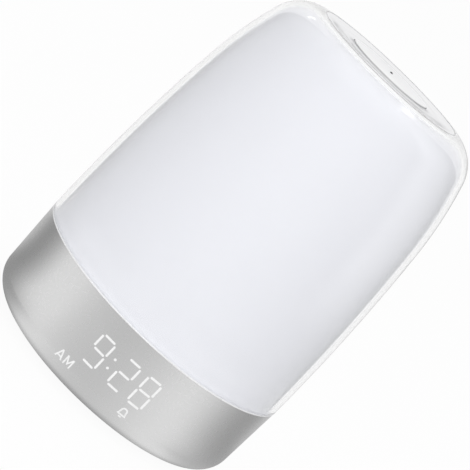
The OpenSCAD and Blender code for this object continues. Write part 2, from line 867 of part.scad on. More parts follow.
module capacitors() {
    groove = 0.3;
    color("royalblue") for (y = [-cap_y, cap_y]) translate([edge_part_x, y, main_board_top])
        difference() {
            cylinder(r = cap_r, h = cap_h, $fn = 48);
            translate([0, 0, 0.8]) tube_ring(cap_r + 1, cap_r - groove, 2 * groove);
        }
}

module cell_holder() {
    half = cell_d / 2 + holder_wall + fit_gap;
    color("black") translate([cell_x, 0, main_board_top]) difference() {
        translate([-half, -half * 0.6, 0]) cube([2 * half, 2 * half * 0.6, holder_floor + cell_t]);
        translate([0, 0, holder_floor]) cylinder(d = cell_d + 2 * fit_gap, h = far);
    }
}

module coin_cell() {
    color("silver") translate([cell_x, 0, main_board_top + holder_floor]) {
        cylinder(d = cell_d, h = cell_t - 0.4);
        cylinder(d = cell_d - 3, h = cell_t);
    }
}

// A row of pins from a standing board to the main board's upper side
module pin_header(board_y, side) {
    bar_l = header_pins * pin_pitch;
    translate([-bar_l / 2, side * header_y - header_w / 2, main_board_top])
        cube([bar_l, header_w, header_w]);
    for (k = [0 : header_pins - 1])
        translate([(k - (header_pins - 1) / 2) * pin_pitch, side * header_y,
                   main_board_top + header_w / 2])
            rotate([-side * 90, 0, 0])
                cylinder(d = pin_d, h = abs(board_y) - header_y, $fn = 24);
}

module display_header() {
    color("black") pin_header(display_face_y + board_t, -1);
}

module rear_header() {
    color("black") pin_header(rear_face_y - board_t, 1);
}

// ---- Display ----

module display_board() {
    color("seagreen") difference() {
        upright_board(display_face_y);
        for (side = [-1, 1])
            translate([side * display_screw_x, display_face_y - 1, display_screw_z])
                rotate([-90, 0, 0]) cylinder(d = small_screw_d + 4 * screw_gap, h = board_t + 2);
    }
}

// One small diode behind each stroke and mark
module display_leds() {
    color("lightyellow") {
        for (x = DIGIT_X, segment = SEGMENTS) {
            middle = (segment[0] + segment[1]) / 2;
            display_led(x + middle[0], display_z + middle[1]);
        }
        for (side = [-1, 1]) display_led(0, display_z + side * colon_rise);
        display_led((am_x[0] + am_x[1]) / 2, mark_z);
        display_led(bell_x, mark_z);
    }
}

module display_led(x, z) {
    translate([x - small_led / 2, display_face_y - small_led_h, z - small_led / 2])
        cube([small_led, small_led_h, small_led]);
}

// Block that keeps each stroke's light apart, curved to the base's inner wall
module display_mask() {
    depth = inner_top_r + 5;
    color("black") difference() {
        intersection() {
            rotate_extrude() base_slab(base_wall + fit_gap, mask_low_z, mask_top_z);
            translate([-mask_half_w, -depth, base_z])
                cube([2 * mask_half_w, depth + display_face_y, base_h]);
        }
        on_front(far) {
            for (x = DIGIT_X) digit(x, EIGHT, channel_w);
            colon_dots(small_led * sqrt(2) + 2 * screw_gap);
            translate([(am_x[0] + am_x[1]) / 2 - 4, mark_z - 2.1]) square([8, 4.2]);
            translate([bell_x - 2.6, mark_z - 2.3]) square([5.2, 4.4]);
        }
        for (side = [-1, 1])
            translate([side * display_screw_x, display_face_y - screw_bite - 1, display_screw_z])
                rotate([-90, 0, 0]) cylinder(d = small_screw_d + 2 * screw_gap, h = far);
    }
}

module display_screws() {
    color("silver") for (side = [-1, 1])
        translate([side * display_screw_x, display_face_y + board_t, display_screw_z])
            rotate([90, 0, 0])
                screw(board_t + screw_bite, small_screw_d, small_head_d, small_head_h);
}

module lit_inlay() {
    color("white") intersection() {
        window_band(0, window_depth - inlay_gap);
        on_front(far) children();
    }
}

module time_digits() {
    lit_inlay() {
        digit(DIGIT_X[1], NINE, stroke_w - 2 * inlay_gap);
        digit(DIGIT_X[2], TWO, stroke_w - 2 * inlay_gap);
        digit(DIGIT_X[3], EIGHT, stroke_w - 2 * inlay_gap);
        colon_dots(stroke_w + 0.2 - 2 * inlay_gap);
    }
}

module am_mark() {
    lit_inlay() am_outline(mark_w - 2 * inlay_gap);
}

module alarm_mark() {
    lit_inlay() bell_outline(mark_w - 2 * inlay_gap);
}

// ---- Rear controls and power inlet ----

module rear_board() {
    color("seagreen") upright_board(rear_face_y - board_t);
}

// An upright circuit board, its side towards -Y at face_y
module upright_board(face_y) {
    translate([-board_half_w, face_y, board_low_z])
        cube([upright_board_w, board_t, board_top_z - board_low_z]);
}

// Puts a switch on the rear board, pointing out of the back
module on_rear_board(i) {
    translate([rear_x(i), rear_face_y, rear_button_z]) rotate([-90, 0, 0]) children();
}

module rear_switches() {
    color("dimgray") for (i = [0 : rear_count - 1]) on_rear_board(i) switch_case(rear_travel);
}

module rear_button(i) {
    x = rear_x(i);
    flange_y = rear_flange_y(x);
    color("lightgray") translate([x, 0, rear_button_z]) rotate([-90, 0, 0]) {
        translate([0, 0, rear_plunger_y]) cylinder(d = stem_d, h = flange_y - rear_plunger_y);
        translate([0, 0, flange_y - rear_flange_t]) cylinder(r = rear_flange_r, h = rear_flange_t);
    }
    color("lightgray") intersection() {
        translate([x, flange_y - eps, rear_button_z])
            rotate([-90, 0, 0]) cylinder(r = rear_button_r, h = far);
        rotate_extrude() base_slab(-rear_proud, base_z, seam_z);
    }
}

module rear_plunger(i) {
    color("black") on_rear_board(i) plunger(rear_travel);
}

module dc_jack() {
    nose_r = inlet_nose_d / 2;
    color("black") difference() {
        union() {
            translate([-inlet_body_w / 2, rear_face_y, inlet_z - inlet_body_h / 2])
                cube([inlet_body_w, inlet_body_y - rear_face_y, inlet_body_h]);
            translate([0, rear_face_y + 1, inlet_z])
                rotate([-90, 0, 0]) cylinder(r = nose_r, h = inlet_mouth_y - rear_face_y - 1);
        }
        translate([0, inlet_mouth_y - inlet_bore_l, inlet_z])
            rotate([-90, 0, 0]) cylinder(d = inlet_bore_d, h = inlet_bore_l + 1);
        translate([0, inlet_mouth_y - inlet_bore_l - 2, inlet_z])
            rotate([-90, 0, 0]) cylinder(d = inlet_pin_d + 2 * screw_gap, h = 3);
    }
}

module dc_jack_pin() {
    color("silver") translate([0, inlet_mouth_y - inlet_bore_l - 2, inlet_z])
        rotate([-90, 0, 0]) cylinder(d = inlet_pin_d, h = inlet_bore_l + 1.2, $fn = 32);
}

// ---- Speaker, facing down ----

module speaker_basket() {
    back_z = speaker_depth - 1;
    color("dimgray") translate([0, 0, plate_z]) rotate_extrude() {
        translate([speaker_r - speaker_rim_w, 0]) square([speaker_rim_w, speaker_rim_t]);
        polygon([[speaker_r - speaker_rim_w, speaker_rim_t - eps],
                 [speaker_r - speaker_rim_w + 1.2, speaker_rim_t - eps],
                 [speaker_back_r, back_z + eps], [speaker_back_r - 1.2, back_z + eps]]);
        translate([coil_r + 1.5, back_z]) square([speaker_back_r - coil_r - 1.5, 1]);
    }
}

module speaker_cone() {
    outer_r = speaker_r - speaker_rim_w - 0.3;
    neck_z = speaker_depth - 3;
    color("black") translate([0, 0, plate_z + 0.4]) rotate_extrude() {
        polygon([[outer_r, 0], [outer_r, cone_t], [outer_r - 1.5, cone_t], [coil_r, neck_z],
                 [coil_r - cone_t, neck_z], [coil_r - cone_t, neck_z - 2], [0, neck_z - 3],
                 [0, neck_z - 3 - cone_t], [coil_r, neck_z - 2.8], [outer_r - 1.8, 0]]);
        translate([coil_r - cone_t, neck_z - eps]) square([cone_t, 2]);
    }
}

module speaker_magnet() {
    color("darkgray") translate([0, 0, plate_z + speaker_depth]) {
        cylinder(r = magnet_r, h = magnet_t);
        translate([0, 0, -2.2]) cylinder(r = coil_r - 1, h = 3);
    }
}

module speaker_leads() {
    color("firebrick") for (y = [-1.5, 1.5])
        translate([magnet_r + 1.2, y, plate_z + speaker_depth])
            cylinder(d = 1, h = main_board_z - plate_z - speaker_depth, $fn = 24);
}

base_shell();
seam_ring();
bottom_cover();
rubber_feet();
cover_screws();
chassis();
outer_cover();
inner_diffuser();
top_dish();
top_button();
sensor_lens();
top_plungers();
top_switches();
light_sensor();
top_board();
top_board_screws();
switch_carrier();
column();
column_screws();
top_lead();
led_board();
led_board_screws();
warm_leds();
white_leds();
led_lead();
main_board();
main_board_screws();
main_chips();
capacitors();
cell_holder();
coin_cell();
display_header();
display_board();
display_leds();
display_mask();
display_screws();
time_digits();
am_mark();
alarm_mark();
rear_board();
rear_switches();
rear_header();
dc_jack();
dc_jack_pin();
speaker_basket();
speaker_cone();
speaker_magnet();
speaker_leads();
rear_button(0);  // button_minus
rear_button(1);  // button_alarm
rear_button(2);  // button_set
rear_button(3);  // button_light
rear_button(4);  // button_plus
rear_plunger(0);  // plunger_minus
rear_plunger(1);  // plunger_alarm
rear_plunger(2);  // plunger_set
rear_plunger(3);  // plunger_light
rear_plunger(4);  // plunger_plus
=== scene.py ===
import math

import bpy
import numpy as np
from bpy.props import FloatProperty, FloatVectorProperty, IntProperty, PointerProperty
from mathutils import Matrix, Vector


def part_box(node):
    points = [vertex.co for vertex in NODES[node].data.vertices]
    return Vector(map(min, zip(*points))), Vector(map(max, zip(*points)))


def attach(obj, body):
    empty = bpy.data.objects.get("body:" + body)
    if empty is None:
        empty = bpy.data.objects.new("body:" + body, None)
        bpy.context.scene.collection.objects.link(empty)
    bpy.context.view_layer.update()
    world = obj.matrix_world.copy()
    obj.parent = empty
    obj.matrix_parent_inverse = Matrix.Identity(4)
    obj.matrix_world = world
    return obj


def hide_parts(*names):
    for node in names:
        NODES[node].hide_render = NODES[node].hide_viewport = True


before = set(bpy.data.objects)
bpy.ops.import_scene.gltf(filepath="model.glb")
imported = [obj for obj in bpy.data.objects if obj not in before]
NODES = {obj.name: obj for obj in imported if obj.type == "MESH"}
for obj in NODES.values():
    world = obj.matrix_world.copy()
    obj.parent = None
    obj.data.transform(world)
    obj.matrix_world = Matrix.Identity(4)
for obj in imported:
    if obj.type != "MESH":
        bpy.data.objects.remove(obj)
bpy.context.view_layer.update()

bl_info = {
    "name": "Sunrise alarm clock",
    "version": (1, 0, 0),
    "blender": (4, 5, 0),
    "location": "3D Viewport > Sidebar > Clock",
    "description": "Dresses the frame of a sunrise alarm clock with its finished pieces",
    "category": "Add Mesh",
}

MM = 0.001
WELD = 0.001 * MM  # Points closer than this become one

# ---- Places taken from the frame ----

COVER_LOW, COVER_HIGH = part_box("outer_cover")
SHADE_LOW, SHADE_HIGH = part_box("inner_diffuser")
DISH_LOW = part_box("top_dish")[0]
BUTTON_LOW, BUTTON_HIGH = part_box("top_button")
BASE_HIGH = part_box("base_shell")[1]
FEET_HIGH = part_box("rubber_feet")[1]
REAR_BUTTONS = ("minus", "alarm", "set", "light", "plus")


# ---- Sizes and colours a user may change ----

def length(name, description, default):
    return FloatProperty(name=name, description=description, default=default, min=0.0,
                         subtype="DISTANCE", unit="LENGTH", precision=5)


def angle(name, description, degrees):
    return FloatProperty(name=name, description=description, default=math.radians(degrees),
                         subtype="ANGLE", unit="ROTATION")


def share(name, description, default):
    return FloatProperty(name=name, description=description, default=default, min=0.0, max=1.0,
                         subtype="FACTOR")


def colour(name, description, default):
    return FloatVectorProperty(name=name, description=description, default=default, size=3,
                               min=0.0, max=1.0, subtype="COLOR")


class ClockSizes(bpy.types.PropertyGroup):
    body_radius: length("Body radius", "Widest radius of the clear cover", COVER_HIGH.x)
    belt_rise: length("Belt rise", "Height of the widest ring above the seam", 0.0035)
    side_lean: angle("Side lean", "Lean of the side where its long curve ends", 5.7)
    shoulder_lean: angle("Shoulder lean", "Lean of the side where the shoulder begins", 17)
    upper_side_radius: length("Upper side radius", "Radius of the upper side curve", 0.170)
    shoulder_radius: length("Shoulder radius", "Radius of the shoulder's curve", 0.017)
    cover_wall: length("Cover wall", "Wall of the clear cover", 0.0018)
    shade_gap: length("Shade gap", "Air between the clear cover and the shade", 0.00055)
    shade_wall: length("Shade wall", "Wall of the milky shade", 0.0016)
    shade_hole: length("Shade hole", "Radius of the hole in the shade's top", 0.0214)
    edge_round: length("Edge rounding", "Rounding of the moulded edges", 0.0003)
    dish_radius: length("Dish radius", "Outer radius of the dish", 0.03496)
    dish_lip: length("Dish lip", "Width of the dish's flat lip", 0.0006)
    dish_depth: length("Dish depth", "Depth of the dish's floor below the rim", 0.0005)
    button_radius: length("Button radius", "Radius of the press button", 0.0196)
    button_wall: length("Button wall", "Wall of the press button", 0.0015)
    button_edge: length("Button edge", "Rounding of the press button's edge", 0.0005)
    flange_width: length("Flange width", "How far the button's flange stands out", 0.0013)
    flange_thickness: length("Flange thickness", "Thickness of the button's flange", 0.0012)
    stem_radius: length("Stem radius", "Radius of the button's two stems", 0.002)
    stem_place: length("Stem place", "Distance of each stem from the axis", 0.010)
    sensor_hole: length("Sensor hole", "Radius of the light sensor's hole", 0.0008)
    rear_pitch: length("Rear pitch", "Distance between the setting buttons", 0.011)
    rear_radius: length("Rear button radius", "Radius of a setting button", 0.0034)
    rear_finger_dish: length("Finger dish", "Depth of a setting button's finger dish", 0.0003)
    foot_groove: length("Foot groove", "Depth of the grooves under a foot", 0.0004)
    segments: IntProperty(name="Segments", description="Steps round a turned piece",
                          default=192, min=24, max=512)


class ClockColours(bpy.types.PropertyGroup):
    metal: colour("Metal", "Satin metal of the base", (0.72, 0.72, 0.72))
    metal_roughness: share("Metal roughness", "How matt the satin metal is", 0.30)
    cover: colour("Clear cover", "Tint of the clear cover", (0.997, 0.998, 1.0))
    shade: colour("Milky shade", "Colour of the lamp shade", (0.787, 0.787, 0.822))
    dish: colour("Dish", "Colour of the dish in the top", (0.87, 0.87, 0.89))
    button: colour("Top button", "Colour of the press button", (0.91, 0.91, 0.92))
    seam: colour("Seam ring", "Colour of the ring in the seam", (0.92, 0.92, 0.93))
    lit: colour("Lit strokes", "Colour of the lit strokes", (1.0, 1.0, 1.0))
    glow: FloatProperty(name="Glow", description="Strength of the lit strokes", default=0.52,
                        min=0.0)
    underside: colour("Underside", "Colour of the bottom cover", (0.50, 0.50, 0.51))
    rubber: colour("Rubber", "Colour of the feet", (0.045, 0.045, 0.048))


class ClockStage(bpy.types.PropertyGroup):
    distance: length("Camera distance", "Level distance of the camera", 0.8327)
    height: length("Camera height", "Height of the camera above the table", 0.2516)
    aim: length("Aim height", "Height that the camera looks at", 0.08105)
    lens: FloatProperty(name="Lens", description="Focal length in millimetres",
                        default=160.85, min=1.0)
    roll: angle("Camera roll", "Turn of the camera about its line of sight", 43.9)
    key: FloatProperty(name="Key light", description="Power of the large front light, in watts",
                       default=9.0, min=0.0)
    top: FloatProperty(name="Top light", description="Power of the light above, in watts",
                       default=2.2, min=0.0)
    sides: FloatProperty(name="Side lights", description="Power of the small lights, in watts",
                         default=0.35, min=0.0)
    ambient: share("Ambient light", "Strength of the room's soft light", 0.73)
    background: colour("Background", "Colour of the floor and the room", (1.0, 1.0, 1.0))


# ---- Node trees ----

def put(tree, kind, inputs=None, **settings):
    """Adds a node with its settings, and links or sets the inputs that are named."""
    made = tree.nodes.new(kind)
    for name, value in settings.items():
        setattr(made, name, value)
    for key, value in (inputs or {}).items():
        if isinstance(value, bpy.types.NodeSocket):
            tree.links.new(value, made.inputs[key])
        else:
            made.inputs[key].default_value = value
    return made


def arrange(tree):
    """Lays the nodes out in columns, each left of what it feeds."""
    depth = {n.name: 0 for n in tree.nodes}
    for _ in tree.nodes:
        for link in tree.links:
            depth[link.from_node.name] = max(depth[link.from_node.name],
                                             depth[link.to_node.name] + 1)
    rows = {}
    for n in tree.nodes:
        column = depth[n.name]
        n.location = (-240 * column, -190 * rows.get(column, 0))
        rows[column] = rows.get(column, 0) + 1


def maths(tree, operation, first, second=0.0):
    """One step of arithmetic on sockets or numbers."""
    return put(tree, "ShaderNodeMath", {0: first, 1: second}, operation=operation).outputs[0]


def product(tree, first, *others):
    """Several values multiplied together."""
    for value in others:
        first = maths(tree, "MULTIPLY", first, value)
    return first


def new_material(slot):
    """An empty material for a slot, with its tree."""
    mat = bpy.data.materials.new(slot.replace("_", " ").capitalize())
    mat.use_nodes = True
    mat.node_tree.nodes.clear()
    return mat, mat.node_tree


def finished(mat, shader):
    """A material whose surface is a shader node."""
    put(mat.node_tree, "ShaderNodeOutputMaterial", {"Surface": shader.outputs[0]})
    arrange(mat.node_tree)
    return mat


def principled(mat, inputs):
    """A material whose surface is one principled shader."""
    return finished(mat, put(mat.node_tree, "ShaderNodeBsdfPrincipled", inputs))


def either(tree, value, first, second):
    """One shader node where a value is 0, another where it is 1."""
    return put(tree, "ShaderNodeMixShader", {0: value, 1: first.outputs[0],
                                             2: second.outputs[0]})


def own_place(tree):
    """The place on a piece, in its own coordinates."""
    return put(tree, "ShaderNodeTexCoord").outputs["Object"]


def own_axes(tree):
    """The same as separate X, Y and Z."""
    return put(tree, "ShaderNodeSeparateXYZ", {0: own_place(tree)}).outputs


def vector_length(tree, where, operation, by):
    """How long a vector is after one step of arithmetic."""
    changed = put(tree, "ShaderNodeVectorMath", {0: where, 1: by}, operation=operation)
    return put(tree, "ShaderNodeVectorMath", {0: changed.outputs[0]},
               operation="LENGTH").outputs["Value"]


def off_axis(tree):
    """Distance from the upright axis."""
    return vector_length(tree, own_place(tree), "MULTIPLY", (1.0, 1.0, 0.0))


def noise(tree, feature, detail=2.0, rough=0.5, stretch=None):
    """Noise whose features have a given size in metres, on the piece's own coordinates."""
    where = own_place(tree)
    if stretch:
        where = put(tree, "ShaderNodeMapping", {"Vector": where, "Scale": stretch}).outputs[0]
    return put(tree, "ShaderNodeTexNoise", {"Vector": where, "Scale": 1.0 / feature,
                                            "Detail": detail, "Roughness": rough}).outputs["Fac"]


def spread(tree, value, low, high, near=0.3, far=0.7):
    """Maps a pattern's values from near..far to low..high."""
    return put(tree, "ShaderNodeMapRange", {"Value": value, "From Min": near, "From Max": far,
                                            "To Min": low, "To Max": high}).outputs[0]


def fade_in(tree, value, start, end):
    """0 up to a start, 1 from an end on."""
    return spread(tree, value, 0.0, 1.0, start, end)


def fade_out(tree, value, start, end):
    """1 up to a start, 0 from an end on."""
    return spread(tree, value, 1.0, 0.0, start, end)


def between(tree, value, first, second):
    """A colour between two, each a socket or red, green and blue, by a pattern."""
    ends = [end if isinstance(end, bpy.types.NodeSocket) else (*end, 1)
            for end in (first, second)]
    return put(tree, "ShaderNodeMix", {0: value, 6: ends[0], 7: ends[1]},
               data_type="RGBA").outputs[2]


def ramp(tree, along, levels, low, high):
    """A smooth grey from (place, level) pairs, where 0..1 along stands for low..high."""
    made = put(tree, "ShaderNodeValToRGB", {0: along})
    made.color_ramp.interpolation = "B_SPLINE"
    stops = made.color_ramp.elements
    stops.remove(stops[1])
    for k, (place, level) in enumerate(levels):
        position = (place - low) / (high - low)
        stop = stops.new(position) if k else stops[0]
        stop.position = position
        stop.color = (level, level, level, 1)
    return made.outputs[0]


def bumps(tree, value, depth, before=None):
    """A normal that follows a pattern of a given depth in metres."""
    inputs = {"Height": value, "Distance": depth, "Strength": 1.0}
    if before is not None:
        inputs["Normal"] = before
    return put(tree, "ShaderNodeBump", inputs).outputs[0]


def toned(rgb, factor):
    """A colour made lighter or darker."""
    return tuple(min(1.0, c * factor) for c in rgb)


def uneven(tree, value, rgb, tone):
    """A colour that wanders by a tone to either side, by a pattern."""
    return between(tree, value, toned(rgb, 1 - tone), toned(rgb, 1 + tone))


# ---- Finishes ----
# A noise's first number is the size of its features, and a bump's number its depth, in metres

def moulded(name, rgb, rough=0.42, grain=0.00025, depth=0.000012, tone=0.03, **sockets):
    """Moulded plastic: fine spark-eroded grain, slow flow marks and a slightly uneven sheen."""
    mat, tree = new_material(name)
    flow = noise(tree, 0.018, 3.0, 0.55, (1.0, 1.0, 0.45))
    fine = noise(tree, grain, 3.0, 0.6)
    sheen = noise(tree, 0.004)
    return principled(mat, {
        "Base Color": uneven(tree, flow, rgb, tone),
        "Roughness": spread(tree, sheen, rough - 0.05, rough + 0.05),
        "Normal": bumps(tree, fine, depth),
        "IOR": 1.46,
        **sockets,
    })


def turned_metal(name, rgb, rough, grain, depth, tone=0.04, stretch=None):
    """Metal with a fine directional or even grain."""
    mat, tree = new_material(name)
    fine = noise(tree, grain, 3.0, 0.65, stretch)
    slow = noise(tree, 0.012)
    return principled(mat, {
        "Base Color": uneven(tree, slow, rgb, tone),
        "Metallic": 1.0,
        "Roughness": spread(tree, fine, rough - 0.06, rough + 0.06),
        "Normal": bumps(tree, fine, depth),
    })


def satin_silver(colours):
    """Satin base metal: blasted grain with darker specks, and faint turning lines."""
    mat, tree = new_material("satin_silver")
    rgb, rough = colours.metal, colours.metal_roughness
    blasted = noise(tree, 0.00032, 4.0, 0.7)
    coarse = noise(tree, 0.0011)
    turning = noise(tree, 0.0002, 1.0, 0.5, (0.01, 0.01, 1.0))
    slow = noise(tree, 0.03, 2.0, 0.5, (1.0, 1.0, 0.5))
    specks = spread(tree, blasted, 0.0, 0.10, 0.35, 0.75)
    relief = None
    for pattern, depth in ((blasted, 0.000006), (coarse, 0.000004), (turning, 0.0000015)):
        relief = bumps(tree, pattern, depth, relief)
    return principled(mat, {
        "Base Color": between(tree, specks, uneven(tree, slow, rgb, 0.03), toned(rgb, 0.72)),
        "Metallic": 1.0,
        "Roughness": spread(tree, coarse, rough - 0.04, rough + 0.04),
        "Normal": relief,
    })


def clear_cover(colours):
    """Clear moulded acrylic, slightly wavy, that lamps shine through, with a frost-matt white
    foot: real frosting that is also a painted highlight along the seam, with a faint painted glow.
    """
    mat, tree = new_material("clear_cover")
    waves = noise(tree, 0.035, 1.0, 0.4, (1.0, 1.0, 0.5))
    smudges = noise(tree, 0.010, 3.0, 0.55)
    glass = put(tree, "ShaderNodeBsdfPrincipled", {
        "Base Color": (*colours.cover, 1),
        "Transmission Weight": 1.0,
        "IOR": 1.49,
        "Roughness": spread(tree, smudges, 0.015, 0.045, 0.35, 0.75),
        "Normal": bumps(tree, waves, 0.00002),
    })
    clear = put(tree, "ShaderNodeBsdfTransparent", {"Color": (0.97, 0.975, 0.98, 1)})
    # The foot's band: matt white, partly a painted highlight along the seam, with a faint painted
    # glow
    frosted_painted_glow = put(tree, "ShaderNodeBsdfPrincipled", {
        "Base Color": (0.83, 0.83, 0.84, 1), "Roughness": 0.5, "IOR": 1.49,
        "Emission Color": (1.0, 1.0, 1.0, 1), "Emission Strength": 0.03,
        "Normal": bumps(tree, noise(tree, 0.0004), 0.000004)})
    rays = put(tree, "ShaderNodeLightPath").outputs
    open_to = maths(tree, "MAXIMUM", rays["Is Shadow Ray"], rays["Is Diffuse Ray"])
    foot, soft_edge = COVER_LOW.z + 0.42 * MM, 0.06 * MM
    matt = fade_out(tree, own_axes(tree)["Z"], foot, foot + soft_edge)
    return finished(mat, either(tree, matt, either(tree, open_to, glass, clear), frosted_painted_glow))


def milky_shade(colours):
    """Milky lamp shade: light wanders under its skin, and painted light makes its foot and its
    crown lighter.
    """
    mat, tree = new_material("milky_shade")
    rgb, painted_foot_height, painted_crown_height = colours.shade, 5.5 * MM, 9.0 * MM
    clouds = noise(tree, 0.028, 3.0, 0.5, (1.0, 1.0, 0.4))
    fine = noise(tree, 0.0004)
    rise = own_axes(tree)["Z"]
    # Painted light: towards the foot and towards the crown the colour turns lighter, up to 1.18
    # times the shade's colour
    foot = maths(tree, "POWER",
                 fade_out(tree, rise, SHADE_LOW.z, SHADE_LOW.z + painted_foot_height), 2.5)
    crown = spread(tree, rise, 0.0, 0.2, SHADE_HIGH.z - painted_crown_height, SHADE_HIGH.z)
    lit = maths(tree, "MAXIMUM", foot, crown)
    return principled(mat, {
        "Base Color": between(tree, lit, uneven(tree, clouds, rgb, 0.015), toned(rgb, 1.18)),
        "Roughness": spread(tree, clouds, 0.42, 0.52),
        "Subsurface Weight": 0.15,
        "Subsurface Radius": (0.002, 0.002, 0.002),
        "Subsurface Scale": 1.0,
        "IOR": 1.45,
        "Normal": bumps(tree, fine, 0.000004),
    })


def lit_white(colours):
    """A lit stroke: slightly uneven light through a milky inlay."""
    mat, tree = new_material("lit_white")
    cloudy = noise(tree, 0.0015)
    return principled(mat, {
        "Base Color": between(tree, cloudy, (0.32, 0.32, 0.32), (0.38, 0.38, 0.38)),
        "Roughness": 0.45,
        "Emission Color": between(tree, cloudy, toned(colours.lit, 0.96), colours.lit),
        "Emission Strength": colours.glow,
    })


def button_white(colours, sizes):
    """The press button's plastic, with painted shade down its wall: greyer towards its edge, for
    the shade in its gap.
    """
    mat, tree = new_material("button_white")
    rgb, edge = colours.button, sizes.button_edge
    fine = noise(tree, 0.0003, 3.0, 0.6)
    flow = noise(tree, 0.012, 3.0, 0.55)
    # Painted shade: the colour greys to 0.6 of itself towards the button's edge, where its wall
    # meets the gap
    start = sizes.button_radius - 0.6 * edge
    painted_gap_shade = fade_in(tree, off_axis(tree), start, start + 0.4 * edge)
    return principled(mat, {
        "Base Color": between(tree, painted_gap_shade, uneven(tree, flow, rgb, 0.015), toned(rgb, 0.60)),
        "Roughness": spread(tree, flow, 0.32, 0.42),
        "Normal": bumps(tree, fine, 0.000006),
        "IOR": 1.46,
    })


def circuit_board(name, mask, copper, dull):
    """Solder mask over copper tracks, with the weave of the laminate showing faintly."""
    mat, tree = new_material(name)
    where = own_place(tree)
    cells = put(tree, "ShaderNodeTexVoronoi", {"Vector": where, "Scale": 420.0,
                                               "Randomness": 0.35},
                distance="CHEBYCHEV", feature="F1").outputs["Distance"]
    rings_per_cell = 9.0
    lines = maths(tree, "FRACT", product(tree, cells, rings_per_cell))
    track = fade_in(tree, lines, 0.50, 0.56)
    weave = put(tree, "ShaderNodeTexChecker", {"Vector": where, "Scale": 2200.0}).outputs["Fac"]
    return principled(mat, {
        "Base Color": between(tree, spread(tree, weave, 0.0, 0.06, 0.0, 1.0),
                              between(tree, track, mask, copper), toned(mask, 0.7)),
        "Roughness": spread(tree, track, dull, dull + 0.12, 0.0, 1.0),
        "Normal": bumps(tree, track, 0.00003),
        "IOR": 1.5,
    })


def foot_rubber(colours):
    """Matt rubber with fine pores and a bloom of dust."""
    mat, tree = new_material("foot_rubber")
    rgb = colours.rubber
    pores = noise(tree, 0.0003, 4.0, 0.7)
    bloom = noise(tree, 0.003, 3.0, 0.6)
    return principled(mat, {
        "Base Color": between(tree, fade_in(tree, bloom, 0.35, 0.8), rgb, toned(rgb, 1.9)),
        "Roughness": spread(tree, bloom, 0.72, 0.88),
        "Normal": bumps(tree, pores, 0.00003),
        "IOR": 1.5,
    })


def cone_paper():
    """Pressed paper: short fibres and a slightly uneven thickness."""
    mat, tree = new_material("cone_paper")
    fibres = noise(tree, 0.0005, 4.0, 0.75, (1.0, 0.35, 1.0))
    pulp = noise(tree, 0.003)
    return principled(mat, {
        "Base Color": between(tree, fibres, (0.030, 0.029, 0.028), (0.085, 0.080, 0.075)),
        "Roughness": spread(tree, pulp, 0.78, 0.92),
        "Normal": bumps(tree, fibres, 0.00006),
    })


def diode_body(name, body, phosphor):
    """A small white diode package, speckled with its phosphor."""
    mat, tree = new_material(name)
    speckle = noise(tree, 0.0004, 3.0, 0.6)
    return principled(mat, {
        "Base Color": between(tree, speckle, body, phosphor),
        "Roughness": spread(tree, speckle, 0.30, 0.48),
        "Subsurface Weight": 0.2,
        "Subsurface Radius": (0.001, 0.001, 0.0006),
        "Subsurface Scale": 1.0,
        "Normal": bumps(tree, speckle, 0.00001),
    })


def make_materials(colours, sizes):
    """Every finish of the clock, by the slot that it belongs to."""
    made = [
        satin_silver(colours),
        moulded("seam_white", colours.seam, 0.38, 0.0003, 0.000006),
        clear_cover(colours),
        milky_shade(colours),
        moulded("dish_white", colours.dish, 0.09, 0.0003, 0.000001, 0.015),
        button_white(colours, sizes),
        moulded("inner_white", (0.80, 0.80, 0.78), 0.50, 0.0005, 0.00002),
        moulded("under_grey", colours.underside, 0.55, 0.0006, 0.00005, 0.05),
        foot_rubber(colours),
        lit_white(colours),
        turned_metal("rear_silver", toned(colours.metal, 0.96), 0.34, 0.0003, 0.000006),
        moulded("black_plastic", (0.018, 0.018, 0.019), 0.40, 0.0003, 0.00002, 0.2),
        moulded("lens_black", (0.012, 0.010, 0.012), 0.12, 0.0006, 0.000004, 0.3,
                **{"Coat Weight": 0.6, "Coat Roughness": 0.05}),
        circuit_board("board_green", (0.010, 0.085, 0.038), (0.030, 0.190, 0.070), 0.30),
        circuit_board("board_white", (0.78, 0.78, 0.76), (0.86, 0.86, 0.84), 0.38),
        diode_body("led_warm", (0.80, 0.74, 0.55), (0.85, 0.58, 0.16)),
        diode_body("led_cool", (0.80, 0.80, 0.76), (0.86, 0.82, 0.50)),
        turned_metal("can_sleeve", (0.58, 0.60, 0.62), 0.26, 0.0004, 0.000004),
        turned_metal("cell_steel", (0.68, 0.67, 0.65), 0.22, 0.0002, 0.000003, 0.05,
                     (1.0, 0.05, 1.0)),
        turned_metal("screw_steel", (0.55, 0.55, 0.56), 0.30, 0.0003, 0.00001),
        turned_metal("contact_metal", (0.72, 0.66, 0.52), 0.20, 0.0003, 0.000004),
        turned_metal("magnet_steel", (0.46, 0.46, 0.47), 0.34, 0.0004, 0.00001),
        moulded("basket_paint", (0.030, 0.030, 0.032), 0.45, 0.0004, 0.00002, 0.15),
        cone_paper(),
        moulded("lead_grey", (0.30, 0.30, 0.31), 0.48, 0.0003, 0.00001, 0.08),
        moulded("lead_red", (0.42, 0.025, 0.020), 0.45, 0.0003, 0.00001, 0.08),
    ]
    return {mat.name.lower().replace(" ", "_"): mat for mat in made}


MATERIALS = {}


def materials():
    """The clock's finishes, made when they are first asked for."""
    if not MATERIALS:
        scene = bpy.context.scene
        MATERIALS.update(make_materials(scene.clock_colours, scene.clock_sizes))
    return MATERIALS


# ---- Geometry ----

def steps_from(first, last, count):
    """Values from one to another in even steps, with both ends."""
    return [first + (last - first) * k / count for k in range(count + 1)]


def arc(u, v, r, first, last, count):
    """Points on a round stretch about a centre, from one angle to another."""
    return [(u + r * math.cos(a), v + r * math.sin(a)) for a in steps_from(first, last, count)]


def circle(u, v, r, count):
    """Points all round a centre."""
    return arc(u, v, r, 0, math.tau, count)[:-1]


